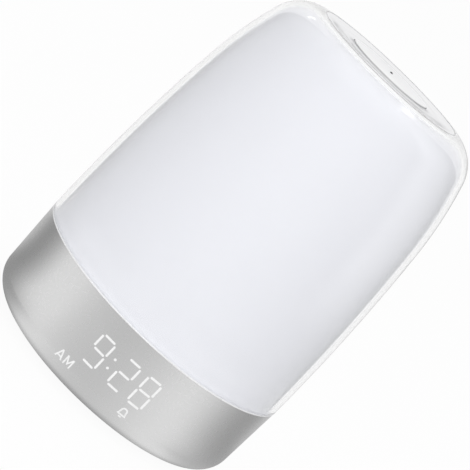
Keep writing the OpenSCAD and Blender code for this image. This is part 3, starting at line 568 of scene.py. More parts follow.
def side_line(sizes, inset, low):
    """The body's side as (radius, height) points, set in by a wall, from a level up to where
    the shoulder turns flat."""
    radius, rim = sizes.body_radius, COVER_HIGH.z
    belt = COVER_LOW.z + sizes.belt_rise
    lean, steep = sizes.side_lean, sizes.shoulder_lean
    upper_r, shoulder_r = sizes.upper_side_radius, sizes.shoulder_radius
    top = rim - shoulder_r
    side_r = upper_r + (top - belt - (upper_r - shoulder_r) * math.sin(steep)) / math.sin(lean)
    side_c = Vector((radius - side_r, belt))
    upper_c = side_c + (side_r - upper_r) * Vector((math.cos(lean), math.sin(lean)))
    shoulder_c = upper_c + (upper_r - shoulder_r) * Vector((math.cos(steep), math.sin(steep)))
    start = math.asin((low - belt) / (side_r - inset))
    points = []
    for centre, r, first, last, count in ((side_c, side_r, start, lean, 36),
                                          (upper_c, upper_r, lean, steep, 24),
                                          (shoulder_c, shoulder_r, steep, math.pi / 2, 40)):
        for a in steps_from(first, last, count)[1 if points else 0:]:
            points.append(tuple(centre + (r - inset) * Vector((math.cos(a), math.sin(a)))))
    return points


def soften(points, radius, steps=4, sharpest=150.0):
    """Rounds the corners of a closed (radius, height) outline that are sharper than an angle."""
    made = []
    count, nothing, most = len(points), 1e-9, 0.45
    for k in range(count):
        before, here, after = (Vector(points[(k + d) % count]) for d in (-1, 0, 1))
        back, on = before - here, after - here
        if back.length < nothing or on.length < nothing:
            continue
        turn = back.angle(on)
        if turn > math.radians(sharpest) or here.x < nothing:
            made.append(tuple(here))
            continue
        cut = min(radius / math.tan(turn / 2), back.length * most, on.length * most)
        first, last = here + back.normalized() * cut, here + on.normalized() * cut
        for t in steps_from(0, 1, steps):
            made.append(tuple((1 - t) ** 2 * first + 2 * t * (1 - t) * here + t * t * last))
    return made


def add_object(name, data):
    """Adds an object to the scene, for a mesh, a lamp or a camera."""
    made = bpy.data.objects.new(name, data)
    bpy.context.scene.collection.objects.link(made)
    return made


def mesh_object(name, points, faces=(), mat=None):
    """A mesh object from its points and faces, in a material."""
    mesh = bpy.data.meshes.new(name)
    mesh.from_pydata(points, [], list(faces))
    if mat:
        mesh.materials.append(mat)
    return add_object(name, mesh)


def outline_object(name, outline):
    """A mesh object that holds the points of a (radius, height) outline in order."""
    return mesh_object(name, [(x, 0.0, z) for x, z in outline])


def tree_for(name, sockets):
    """A Geometry Nodes tree with its named inputs."""
    tree = bpy.data.node_groups.new(name, "GeometryNodeTree")
    tree.interface.new_socket("Geometry", in_out="INPUT", socket_type="NodeSocketGeometry")
    for label, kind, default in sockets:
        made = tree.interface.new_socket(label, in_out="INPUT", socket_type=f"NodeSocket{kind}")
        if default is not None:
            made.default_value = default
    tree.interface.new_socket("Geometry", in_out="OUTPUT", socket_type="NodeSocketGeometry")
    return tree, tree.nodes.new("NodeGroupInput").outputs


def end_tree(tree, geometry):
    """Ends a Geometry Nodes tree with its result."""
    put(tree, "NodeGroupOutput", {0: geometry})
    arrange(tree)
    return tree


def real_in(tree, geometry, mat):
    """Makes copies real and gives them a material."""
    real = put(tree, "GeometryNodeRealizeInstances", {"Geometry": geometry}).outputs[0]
    return put(tree, "GeometryNodeSetMaterial", {"Geometry": real, "Material": mat}).outputs[0]


def joined_axes(tree, x=0.0, y=0.0, z=0.0):
    """A vector from its three parts."""
    return put(tree, "ShaderNodeCombineXYZ", {"X": x, "Y": y, "Z": z}).outputs[0]


def turning_tree():
    """Turns an outline round the upright axis into a closed body, seam at the rear."""
    found = bpy.data.node_groups.get("Turned piece")
    if found:
        return found
    tree, given = tree_for("Turned piece", (
        ("Segments", "Int", 192), ("Weld", "Float", WELD), ("Material", "Material", None)))
    count = put(tree, "GeometryNodeAttributeDomainSize", {"Geometry": given["Geometry"]},
                component="MESH").outputs["Point Count"]
    grid = put(tree, "GeometryNodeMeshGrid", {
        "Size X": 1.0, "Size Y": 1.0,
        "Vertices X": maths(tree, "ADD", given["Segments"], 1.0),
        "Vertices Y": maths(tree, "ADD", count, 1.0)})
    here = put(tree, "GeometryNodeInputPosition").outputs[0]
    where = put(tree, "ShaderNodeSeparateXYZ", {0: here}).outputs
    turn = product(tree, maths(tree, "ADD", where["X"], 0.5), math.tau)
    row = maths(tree, "ROUND", product(tree, maths(tree, "ADD", where["Y"], 0.5), count))
    source = put(tree, "GeometryNodeSampleIndex", {
        "Geometry": given["Geometry"], "Value": here,
        "Index": maths(tree, "MODULO", row, count)}, data_type="FLOAT_VECTOR")
    outline = put(tree, "ShaderNodeSeparateXYZ", {0: source.outputs[0]}).outputs
    place = joined_axes(tree, product(tree, outline["X"], maths(tree, "SINE", turn)),
                        product(tree, outline["X"], maths(tree, "COSINE", turn)),
                        outline["Z"])
    mapped = put(tree, "GeometryNodeStoreNamedAttribute", {
        "Geometry": grid.outputs["Mesh"], "Name": "UVMap", "Value": grid.outputs["UV Map"]},
        data_type="FLOAT2", domain="CORNER").outputs[0]
    turned_round = put(tree, "GeometryNodeSetPosition", {"Geometry": mapped,
                                                         "Position": place}).outputs[0]
    welded = put(tree, "GeometryNodeMergeByDistance", {"Geometry": turned_round,
                                                       "Distance": given["Weld"]}).outputs[0]
    return end_tree(tree, real_in(tree, welded, given["Material"]))


def ring_tree():
    """Sets copies of a piece round the upright axis, each turned to face outwards."""
    found = bpy.data.node_groups.get("Ring of copies")
    if found:
        return found
    tree, given = tree_for("Ring of copies", (
        ("Count", "Int", 4), ("Radius", "Float", 0.01), ("First angle", "Float", 0.0),
        ("Material", "Material", None)))
    index = put(tree, "GeometryNodeInputIndex").outputs[0]
    turn = maths(tree, "ADD", given["First angle"],
                 maths(tree, "DIVIDE", product(tree, index, math.tau), given["Count"]))
    place = joined_axes(tree, product(tree, given["Radius"], maths(tree, "COSINE", turn)),
                        product(tree, given["Radius"], maths(tree, "SINE", turn)))
    spots = put(tree, "GeometryNodePoints", {"Count": given["Count"], "Position": place})
    facing = put(tree, "FunctionNodeEulerToRotation", {0: joined_axes(tree, z=turn)})
    copies = put(tree, "GeometryNodeInstanceOnPoints", {
        "Points": spots.outputs[0], "Instance": given["Geometry"],
        "Rotation": facing.outputs[0]})
    return end_tree(tree, real_in(tree, copies.outputs[0], given["Material"]))


def screw_tree():
    """Turns a screw from its outline, cuts the cross into its head and sets a ring of them."""
    found = bpy.data.node_groups.get("Cross-headed screws")
    if found:
        return found
    tree, given = tree_for("Cross-headed screws", (
        ("Segments", "Int", 24), ("Slot length", "Float", 0.003),
        ("Slot width", "Float", 0.0006), ("Slot height", "Float", 0.0013),
        ("Slot place", "Float", 0.0), ("Count", "Int", 4), ("Radius", "Float", 0.01),
        ("First angle", "Float", 0.0), ("Material", "Material", None)))
    head = put(tree, "GeometryNodeGroup", {
        "Geometry": given["Geometry"], "Segments": given["Segments"], "Weld": WELD},
        node_tree=turning_tree()).outputs[0]
    for first, second in (("Slot length", "Slot width"), ("Slot width", "Slot length")):
        size = joined_axes(tree, given[first], given[second], given["Slot height"])
        bar_mesh = put(tree, "GeometryNodeMeshCube", {"Size": size}).outputs["Mesh"]
        placed = put(tree, "GeometryNodeTransform", {
            "Geometry": bar_mesh,
            "Translation": joined_axes(tree, z=given["Slot place"])}).outputs[0]
        head = put(tree, "GeometryNodeMeshBoolean", {"Mesh 1": head, "Mesh 2": placed},
                   operation="DIFFERENCE", solver="EXACT").outputs[0]
    ring = put(tree, "GeometryNodeGroup", {
        "Geometry": head, **{key: given[key] for key in ("Count", "Radius", "First angle",
                                                         "Material")}},
        node_tree=ring_tree())
    return end_tree(tree, ring.outputs[0])


def volume(mesh):
    """Signed volume inside a closed mesh."""
    mesh.calc_loop_triangles()
    co = np.empty(len(mesh.vertices) * 3)
    mesh.vertices.foreach_get("co", co)
    tri = np.empty(len(mesh.loop_triangles) * 3, np.int32)
    mesh.loop_triangles.foreach_get("vertices", tri)
    p = co.reshape(-1, 3)[tri.reshape(-1, 3)]
    return float(np.einsum("ij,ij->i", p[:, 0], np.cross(p[:, 1], p[:, 2])).sum() / 6)


def face_outwards(mesh):
    """Turns the faces of a closed mesh outwards."""
    if volume(mesh) < 0:
        mesh.flip_normals()


def grow(source, tree, values, sharp=32.0):
    """Runs a Geometry Nodes tree on an object and keeps the result as its plain mesh."""
    modifier = source.modifiers.new(tree.name, "NODES")
    modifier.node_group = tree
    for item in tree.interface.items_tree:
        if item.item_type == "SOCKET" and item.in_out == "INPUT" and item.name in values:
            modifier[item.identifier] = values[item.name]
    bpy.context.view_layer.update()
    ready = source.evaluated_get(bpy.context.evaluated_depsgraph_get())
    mesh = bpy.data.meshes.new_from_object(ready)
    source.modifiers.remove(modifier)
    face_outwards(mesh)
    mesh.shade_smooth()
    mesh.set_sharp_from_angle(angle=math.radians(sharp))
    mesh.name = source.name
    source.data = mesh
    return source


def turned_mesh(name, outline, finish, segments=None, sharp=32.0):
    """A turned body from its outline."""
    return grow(outline_object(name, outline), turning_tree(), {
        "Segments": segments or bpy.context.scene.clock_sizes.segments, "Weld": WELD,
        "Material": materials()[finish]}, sharp)


def turned(name, outline, finish, stands_for):
    """A turned piece that rides on the clock's body and stands for a CAD node."""
    return seat(turned_mesh(name, outline, finish), "clock", [stands_for])


def ring_of(source, finish, count, radius):
    """Copies of a body in a ring round the axis."""
    return grow(source, ring_tree(), {
        "Count": count, "Radius": radius, "First angle": 0.0, "Material": materials()[finish]})


def joined(name, parts):
    """One body of several, with all their faces and materials."""
    kept = parts[0]
    with bpy.context.temp_override(active_object=kept, selected_editable_objects=parts,
                                   object=kept, selected_objects=parts):
        bpy.ops.object.join()
    kept.name = kept.data.name = name
    return kept


def seat(made, body, stands_for):
    """Sets the body a piece rides on, and hides the CAD nodes it stands for."""
    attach(made, body)
    if stands_for:
        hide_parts(*stands_for)
    return made


def screws(node, count, ring, first, heads_up):
    """A ring of pan-head screws with a cross in each head, in place of a CAD node's."""
    low, high = (corner.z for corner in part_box(node))
    head, shank, tall, tip = 2.3 * MM, 1.25 * MM, 1.3 * MM, 0.4 * MM
    down = [(0.0, 0.0), (0.5 * head, 0.02 * MM), (0.8 * head, 0.14 * MM), (0.94 * head, 0.32 * MM),
            (head, 0.65 * MM), (head, tall), (shank, tall), (shank, high - low - tip),
            (0.65 * shank, high - low), (0.0, high - low)]
    outline = [(x, high - z if heads_up else low + z) for x, z in down]
    made = grow(outline_object(node.replace("screws", "pan_screws"), outline), screw_tree(), {
        "Segments": 24, "Slot length": 1.3 * head, "Slot width": 0.6 * MM,
        "Slot height": tall, "Slot place": high if heads_up else low, "Count": count,
        "Radius": ring, "First angle": math.radians(first),
        "Material": materials()["screw_steel"]}, 30.0)
    return seat(made, "clock", [node])


def dress(finish, *names):
    """Gives CAD nodes a finish."""
    for name in names:
        NODES[name].material_slots[0].material = materials()[finish]


# ---- Pieces ----

class ClockOperator:
    bl_options = {"REGISTER", "UNDO"}


class CLOCK_OT_cover(ClockOperator, bpy.types.Operator):
    """Turns the clear outer cover"""
    bl_idname = "clock.cover"
    bl_label = "Clear cover"

    def execute(self, context):
        sizes = context.scene.clock_sizes
        lift, corner = 0.05 * MM, 0.05 * MM
        outer, inner = (side_line(sizes, inset, COVER_LOW.z + lift)
                        for inset in (0.0, sizes.cover_wall))
        turned("cover_shell", soften(outer + inner[::-1], corner, 2, sharpest=125),
               "clear_cover", "outer_cover")
        return {"FINISHED"}


class CLOCK_OT_shade(ClockOperator, bpy.types.Operator):
    """Turns the milky lamp shade inside the cover"""
    bl_idname = "clock.shade"
    bl_label = "Milky shade"

    def execute(self, context):
        sizes = context.scene.clock_sizes
        inset, hole = sizes.cover_wall + sizes.shade_gap, sizes.shade_hole
        outer, inner = (side_line(sizes, inset + wall, SHADE_LOW.z)
                        + [(hole, SHADE_HIGH.z - wall)] for wall in (0.0, sizes.shade_wall))
        turned("shade_shell", soften(outer + inner[::-1], sizes.edge_round, sharpest=125),
               "milky_shade", "inner_diffuser")
        return {"FINISHED"}


class CLOCK_OT_dish(ClockOperator, bpy.types.Operator):
    """Turns the shallow dish in the top"""
    bl_idname = "clock.dish"
    bl_label = "Top dish"

    def execute(self, context):
        sizes = context.scene.clock_sizes
        sunk, gap, slope_share, steps, corner = 0.02 * MM, 0.3 * MM, 0.7, 40, 0.06 * MM
        out, lip, seat_z = sizes.dish_radius, COVER_HIGH.z - sunk, DISH_LOW.z
        hole = sizes.button_radius + gap
        floor = COVER_HIGH.z - sizes.dish_depth
        top = out - sizes.dish_lip
        wide = slope_share * (top - hole)
        slope = [(top - wide * k / steps,
                  (lip + floor) / 2 + (lip - floor) / 2 * math.cos(math.pi * k / steps))
                 for k in range(steps + 1)]
        outline = [(hole, seat_z), (out, seat_z), (out, lip), *slope, (hole, floor)]
        turned("dish", soften(outline, corner, 3, 120), "dish_white", "top_dish")
        return {"FINISHED"}


class CLOCK_OT_top_button(ClockOperator, bpy.types.Operator):
    """Turns the press button with its flange, stems and the light sensor's lens"""
    bl_idname = "clock.top_button"
    bl_label = "Top button"

    def execute(self, context):
        sizes = context.scene.clock_sizes
        cap = turned_mesh("button_cap", self.cap_line(sizes), "button_white")
        stems = ring_of(turned_mesh("button_stems", self.stem_line(sizes), "button_white", 32),
                        "button_white", 2, sizes.stem_place)
        seat(joined("press_button", [cap, stems]), "top_press", ["top_button"])
        seat(turned_mesh("lens", self.lens_line(), "lens_black", 48), "top_press",
             ["sensor_lens"])
        return {"FINISHED"}

    def cap_line(self, sizes):
        """The button's outline: rounded crown, flange, hollow inside and the sensor's hole."""
        top, under = BUTTON_HIGH.z, BUTTON_HIGH.z - sizes.button_wall
        gap, bevel = 0.3 * MM, 0.15 * MM
        flange_top = DISH_LOW.z - gap
        flange_low = flange_top - sizes.flange_thickness
        hole, out, edge = sizes.sensor_hole, sizes.button_radius, sizes.button_edge
        inside, flange = out - sizes.button_wall, out + sizes.flange_width
        crown = arc(out - edge, top - edge, edge, math.pi / 2, 0, 8)
        return crown + [(out, flange_top), (flange, flange_top), (flange, flange_low),
                        (inside, flange_low), (inside, under), (hole, under),
                        (hole, top - bevel), (hole + bevel, top)]

    def stem_line(self, sizes):
        """The outline of one stem, whose top end lies in the button's roof."""
        low, stem, bevel, sunk = BUTTON_LOW.z, sizes.stem_radius, 0.3 * MM, 0.4 * MM
        high = BUTTON_HIGH.z - sizes.button_wall + sunk
        return [(0.0, low), (stem - bevel, low), (stem, low + bevel), (stem, high), (0.0, high)]

    def lens_line(self):
        """The outline of the light sensor's lens, a dome on a short post."""
        low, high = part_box("sensor_lens")
        r, spare = high.x, 0.01 * MM
        dome = high.z - r - spare
        return [(0.0, low.z), (r, low.z), *arc(0.0, dome, r, 0, math.pi / 2, 10)]


class CLOCK_OT_base(ClockOperator, bpy.types.Operator):
    """Finishes the satin base and the ring in its seam"""
    bl_idname = "clock.base"
    bl_label = "Base"

    def execute(self, context):
        dress("satin_silver", "base_shell")
        dress("seam_white", "seam_ring")
        return {"FINISHED"}


class CLOCK_OT_display(ClockOperator, bpy.types.Operator):
    """Lights the strokes of the time, the letters and the bell"""
    bl_idname = "clock.display"
    bl_label = "Display"

    def execute(self, context):
        dress("lit_white", "time_digits", "am_mark", "alarm_mark")
        return {"FINISHED"}


def bar(u, v, wide, tall, turn=0.0):
    """A rectangle round a point, in millimetres, turned by an angle."""
    c, s = math.cos(turn), math.sin(turn)
    return [(u + c * a - s * b, v + s * a + c * b)
            for a, b in ((-wide / 2, -tall / 2), (wide / 2, -tall / 2), (wide / 2, tall / 2),
                         (-wide / 2, tall / 2))]


def arc_pieces(r_out, r_in, count=24):
    """A ring as short closed pieces side by side."""
    outer, inner = (arc(0.0, 0.0, r, 0, math.tau, count) for r in (r_out, r_in))
    return [[inner[k], outer[k], outer[k + 1], inner[k + 1]] for k in range(count)]


def plus_sign():
    a, b = 1.2, 0.22
    return [[(-a, -b), (-b, -b), (-b, -a), (b, -a), (b, -b), (a, -b), (a, b), (b, b), (b, a),
             (-b, a), (-b, b), (-a, b)]]


def bell_sign():
    dome = arc(0.0, 0.35, 0.85, 0, math.pi, 12)
    return [[(1.25, -0.75), *dome, (-1.25, -0.75)], circle(0.0, -1.12, 0.24, 12)]


def clock_sign():
    return arc_pieces(1.3, 1.0) + [bar(0.0, 0.36, 0.24, 0.80), bar(0.33, -0.02, 0.60, 0.22)]


def sun_sign():
    rays = [bar(1.17 * math.cos(a), 1.17 * math.sin(a), 0.50, 0.22, a)
            for a in steps_from(0, math.tau, 8)[:-1]]
    return [circle(0.0, 0.0, 0.58, 20)] + rays


# The setting buttons' symbols, as closed outlines in millimetres
SYMBOLS = {"minus": lambda: [bar(0.0, 0.0, 2.4, 0.44)], "alarm": bell_sign, "set": clock_sign,
           "light": sun_sign, "plus": plus_sign}


class CLOCK_OT_rear(ClockOperator, bpy.types.Operator):
    """Finishes the setting buttons and the power inlet at the rear"""
    bl_idname = "clock.rear"
    bl_label = "Rear buttons and inlet"

    def execute(self, context):
        sizes = context.scene.clock_sizes
        for k, name in enumerate(REAR_BUTTONS):
            self.press_button(sizes, name, (k - 2) * sizes.rear_pitch)
        dress("black_plastic", "dc_jack")
        dress("contact_metal", "dc_jack_pin")
        return {"FINISHED"}

    def press_button(self, sizes, name, across):
        """A setting button whose face follows the base, with a finger dish and its symbol."""
        low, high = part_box(f"button_{name}")
        level = (low.z + high.z) / 2
        lean, proud, base_wall, gap = math.tan(math.radians(2.2)), 0.9 * MM, 2.0 * MM, 0.3 * MM
        r, dip, flange, bevel = sizes.rear_radius, sizes.rear_finger_dish, 1.1 * MM, 0.2 * MM

        def face(x, z):
            reach = BASE_HIGH.x + proud + lean * (z - BASE_HIGH.z)
            return math.sqrt(reach ** 2 - x ** 2)

        wide = r + flange
        inner = BASE_HIGH.x - base_wall - lean * (BASE_HIGH.z - level + wide)
        flange_y = math.sqrt(inner ** 2 - (abs(across) + wide) ** 2) - gap

        # Heights in the cap's outline are from the face. Its back, far below, is set afterwards.
        back_mark, edge, start, sunk = -1.0, 0.35 * MM, -0.4 * MM, 0.05 * MM
        cap = [(0.0, back_mark), (r, back_mark), (r, start)]
        cap += arc(r - edge, start, edge, 0, math.pi / 2, 5)[1:]
        rim = r - 0.6 * MM
        cap += [(rim * (1 - 0.3 * k / 6), -sunk - dip * (1 - math.cos(math.pi * k / 6)) / 2)
                for k in range(7)]
        cap += [(0.35 * r, -sunk - dip), (0.0, -sunk - dip)]
        made = turned_mesh(f"setting_{name}", cap, "rear_silver", 64, 40.0)
        for v in made.data.vertices:
            x, z = across + v.co.x, level - v.co.y
            y = flange_y - bevel if v.co.z < back_mark / 2 else face(x, z) + v.co.z
            v.co = (x, y, z)

        stem, back = 2.0 * MM, flange_y - 1.2 * MM
        foot = turned_mesh(f"flange_{name}", [
            (0.0, low.y), (stem, low.y), (stem, back), (wide - bevel, back),
            (wide, back + bevel), (wide, flange_y - bevel), (wide - bevel, flange_y),
            (0.0, flange_y)], "rear_silver", 48)
        for v in foot.data.vertices:
            v.co = (across + v.co.x, v.co.z, level - v.co.y)
        body = f"{name}_press"
        seat(joined(f"setting_{name}", [made, foot]), body, [f"button_{name}"])

        def dished(u, v, sink):
            """A point of the symbol, in millimetres across, up and into the finger dish."""
            x, z = across - u * MM, level + v * MM
            return x, face(x, z) - sunk - dip - sink * MM, z

        seat(self.symbol(name, dished), body, [])

    def symbol(self, name, dished):
        """The flat printed symbol in a finger dish, seen from the rear."""
        points, faces = [], []
        for loop in SYMBOLS[name]():
            start, n = len(points), len(loop)
            points += [dished(u, v, sink) for sink in (-0.04, 0.12) for u, v in loop]
            faces.append([start + k for k in range(n)])
            faces.append([start + n + k for k in reversed(range(n))])
            faces += [(start + (k + 1) % n, start + k, start + n + k, start + n + (k + 1) % n)
                      for k in range(n)]
        made = mesh_object(f"symbol_{name}", points, faces, materials()["black_plastic"])
        face_outwards(made.data)
        return made


class CLOCK_OT_underside(ClockOperator, bpy.types.Operator):
    """Finishes the bottom cover, its screws and the feet"""
    bl_idname = "clock.underside"
    bl_label = "Underside"

    def execute(self, context):
        groove = context.scene.clock_sizes.foot_groove
        dress("under_grey", "bottom_cover")
        r, tall, edge = 6.0 * MM, FEET_HIGH.z, 0.5 * MM
        foot = [(0.0, 0.0)]
        for inner in (1.6 * MM, 3.4 * MM):
            foot += [(inner, 0.0), (inner + 0.2 * MM, groove), (inner + 0.8 * MM, groove),
                     (inner + 1.0 * MM, 0.0)]
        foot += arc(r - edge, edge, edge, -math.pi / 2, 0, 5) + [(r, tall), (0.0, tall)]
        feet = ring_of(turned_mesh("feet", foot, "foot_rubber", 48), "foot_rubber", 4,
                       FEET_HIGH.x - r)
        seat(feet, "clock", ["rubber_feet"])
        screws("cover_screws", 4, FEET_HIGH.x - r, 45, False)
        return {"FINISHED"}


class CLOCK_OT_lamp(ClockOperator, bpy.types.Operator):
    """Finishes the lamp inside the shade and the switches under the top button"""
    bl_idname = "clock.lamp"
    bl_label = "Lamp and top switches"

    def execute(self, context):
        dress("inner_white", "column", "switch_carrier", "chassis")
        screws("column_screws", 3, 11.0 * MM, 90, True)
        screws("led_board_screws", 3, 33.0 * MM, 90, True)
        screws("top_board_screws", 3, 15.0 * MM, 90, True)
        dress("board_white", "led_board")
        dress("board_green", "top_board")
        dress("led_warm", "warm_leds")
        dress("led_cool", "white_leds")
        dress("black_plastic", "top_switches", "top_plungers")
        dress("lens_black", "light_sensor")
        dress("lead_grey", "top_lead")
        dress("lead_red", "led_lead")
        return {"FINISHED"}


class CLOCK_OT_boards(ClockOperator, bpy.types.Operator):
    """Finishes the main, display and rear boards with their parts"""
    bl_idname = "clock.boards"
    bl_label = "Boards"

    def execute(self, context):
        dress("board_green", "main_board", "display_board", "rear_board")
        dress("screw_steel", "display_screws")
        screws("main_board_screws", 4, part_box("main_board")[1].x - 7.2 * MM, 45, False)
        dress("black_plastic", "main_chips", "cell_holder", "display_header", "rear_header",
              "display_mask", "rear_switches", *(f"plunger_{name}" for name in REAR_BUTTONS))
        dress("can_sleeve", "capacitors")
        dress("cell_steel", "coin_cell")
        dress("led_cool", "display_leds")
        return {"FINISHED"}


class CLOCK_OT_speaker(ClockOperator, bpy.types.Operator):
    """Finishes the speaker over the grille"""
    bl_idname = "clock.speaker"
    bl_label = "Speaker"

    def execute(self, context):
        dress("basket_paint", "speaker_basket")
        dress("cone_paper", "speaker_cone")
        dress("magnet_steel", "speaker_magnet")
        dress("lead_red", "speaker_leads")
        return {"FINISHED"}


# ---- Stage ----

FLOOR_RADIUS = 9.0
TENT_RADIUS, TENT_INNER = 0.130, 0.048

# Brightness of the light tent by angle in degrees from the front, to the right
TENT_LEVELS = (
    (-180, 0.90), (-120, 0.60), (-111, 0.43), (-104, 0.35), (-98, 0.33), (-92, 0.36),
    (-86, 0.43), (-80, 0.56), (-73, 0.77), (-66, 1.00), (-59, 1.12), (-52, 1.08), (-43, 0.98),
    (-34, 0.85), (-23, 0.76), (-12, 0.71), (0, 0.72), (12, 0.76), (23, 0.85), (34, 0.94),
    (42, 1.00), (49, 1.03), (56, 0.95), (64, 0.82), (71, 0.69), (78, 0.57), (86, 0.48),
    (94, 0.42), (103, 0.41), (111, 0.45), (120, 0.56), (128, 0.67))
# The same above the seam, where the clear cover reflects it
UPPER_LEVELS = (
    (-180, 1.30), (-117.5, 1.25), (-115.5, 0.0), (-111, 0.0), (-106, 0.16), (-96, 0.34),
    (-86, 0.44), (-74, 0.38), (-63, 0.34), (-52, 0.38), (-42, 0.44), (-32, 0.46), (-18, 0.50),
    (0, 0.52), (18, 0.50), (32, 0.46), (42, 0.44), (52, 0.38), (63, 0.34), (74, 0.34),
    (86, 0.36), (96, 0.26), (106, 0.16), (111, 0.0), (115.5, 0.0), (117.5, 1.25), (121, 1.30),
    (134, 1.25), (141, 0.70), (148, 0.55))
# The same under the clock, where the rounded edge of the base reflects it
FLOOR_LEVELS = (
    (-180, 0.50), (-100, 0.36), (-86, 0.36), (-73, 0.40), (-66, 0.44), (-59, 0.52),
    (-52, 0.68), (-45, 0.88), (-34, 0.98), (-24, 0.88), (-12, 0.76), (0, 0.73), (12, 0.78),
    (24, 0.90), (34, 1.00), (45, 0.95), (52, 0.78), (59, 0.66), (66, 0.60), (73, 0.56),
    (86, 0.50), (100, 0.46), (128, 0.50))

# Brightness of the tall card behind, by height in metres
CARD_LEVELS = ((0.212, 0.90), (0.40, 0.92), (0.55, 1.05), (0.75, 1.9), (1.0, 3.1), (1.5, 3.3),
               (2.0, 2.4), (2.6, 1.2))


def sight(place, target, roll):
    """The axes of something that looks at a target, rolled about its line of sight."""
    look = (Vector(target) - Vector(place)).normalized()
    right = look.cross(Vector((0, 0, 1))).normalized()
    up = right.cross(look)
    x = math.cos(roll) * right + math.sin(roll) * up
    y = -math.sin(roll) * right + math.cos(roll) * up
    return x, y, -look


def point_at(obj, place, target, roll=0.0):
    """Puts an object at a place, looking at a target."""
    turn = Matrix(sight(place, target, roll)).transposed()
    obj.matrix_world = Matrix.Translation(place) @ turn.to_4x4()


def area_lamp(name, place, target, width, tall, power):
    """A rectangular lamp that shines at a target."""
    data = bpy.data.lights.new(name, "AREA")
    data.shape = "RECTANGLE"
    data.size, data.size_y, data.energy = width, tall, power
    made = add_object(name, data)
    point_at(made, place, target)
    return made


def only_reflected(made):
    """Hides a piece of the stage from all but reflections."""
    for kind in ("camera", "diffuse", "transmission", "volume_scatter", "shadow"):
        setattr(made, f"visible_{kind}", False)


def card(mat, x, y, low, high):
    """An upright card behind the clock, in its material and by its name."""
    only_reflected(mesh_object(mat.name, [(-x, y, low), (x, y, low), (x, y, high),
                                          (-x, y, high)], [(0, 1, 2, 3)], mat))


def room_rays(tree):
    """1 for rays from the camera, from metal and through glass, which see the plain room."""
    rays = put(tree, "ShaderNodeLightPath").outputs
    gloss = maths(tree, "MAXIMUM", rays["Is Glossy Ray"], rays["Is Transmission Ray"])
    return maths(tree, "MAXIMUM", rays["Is Camera Ray"], gloss)


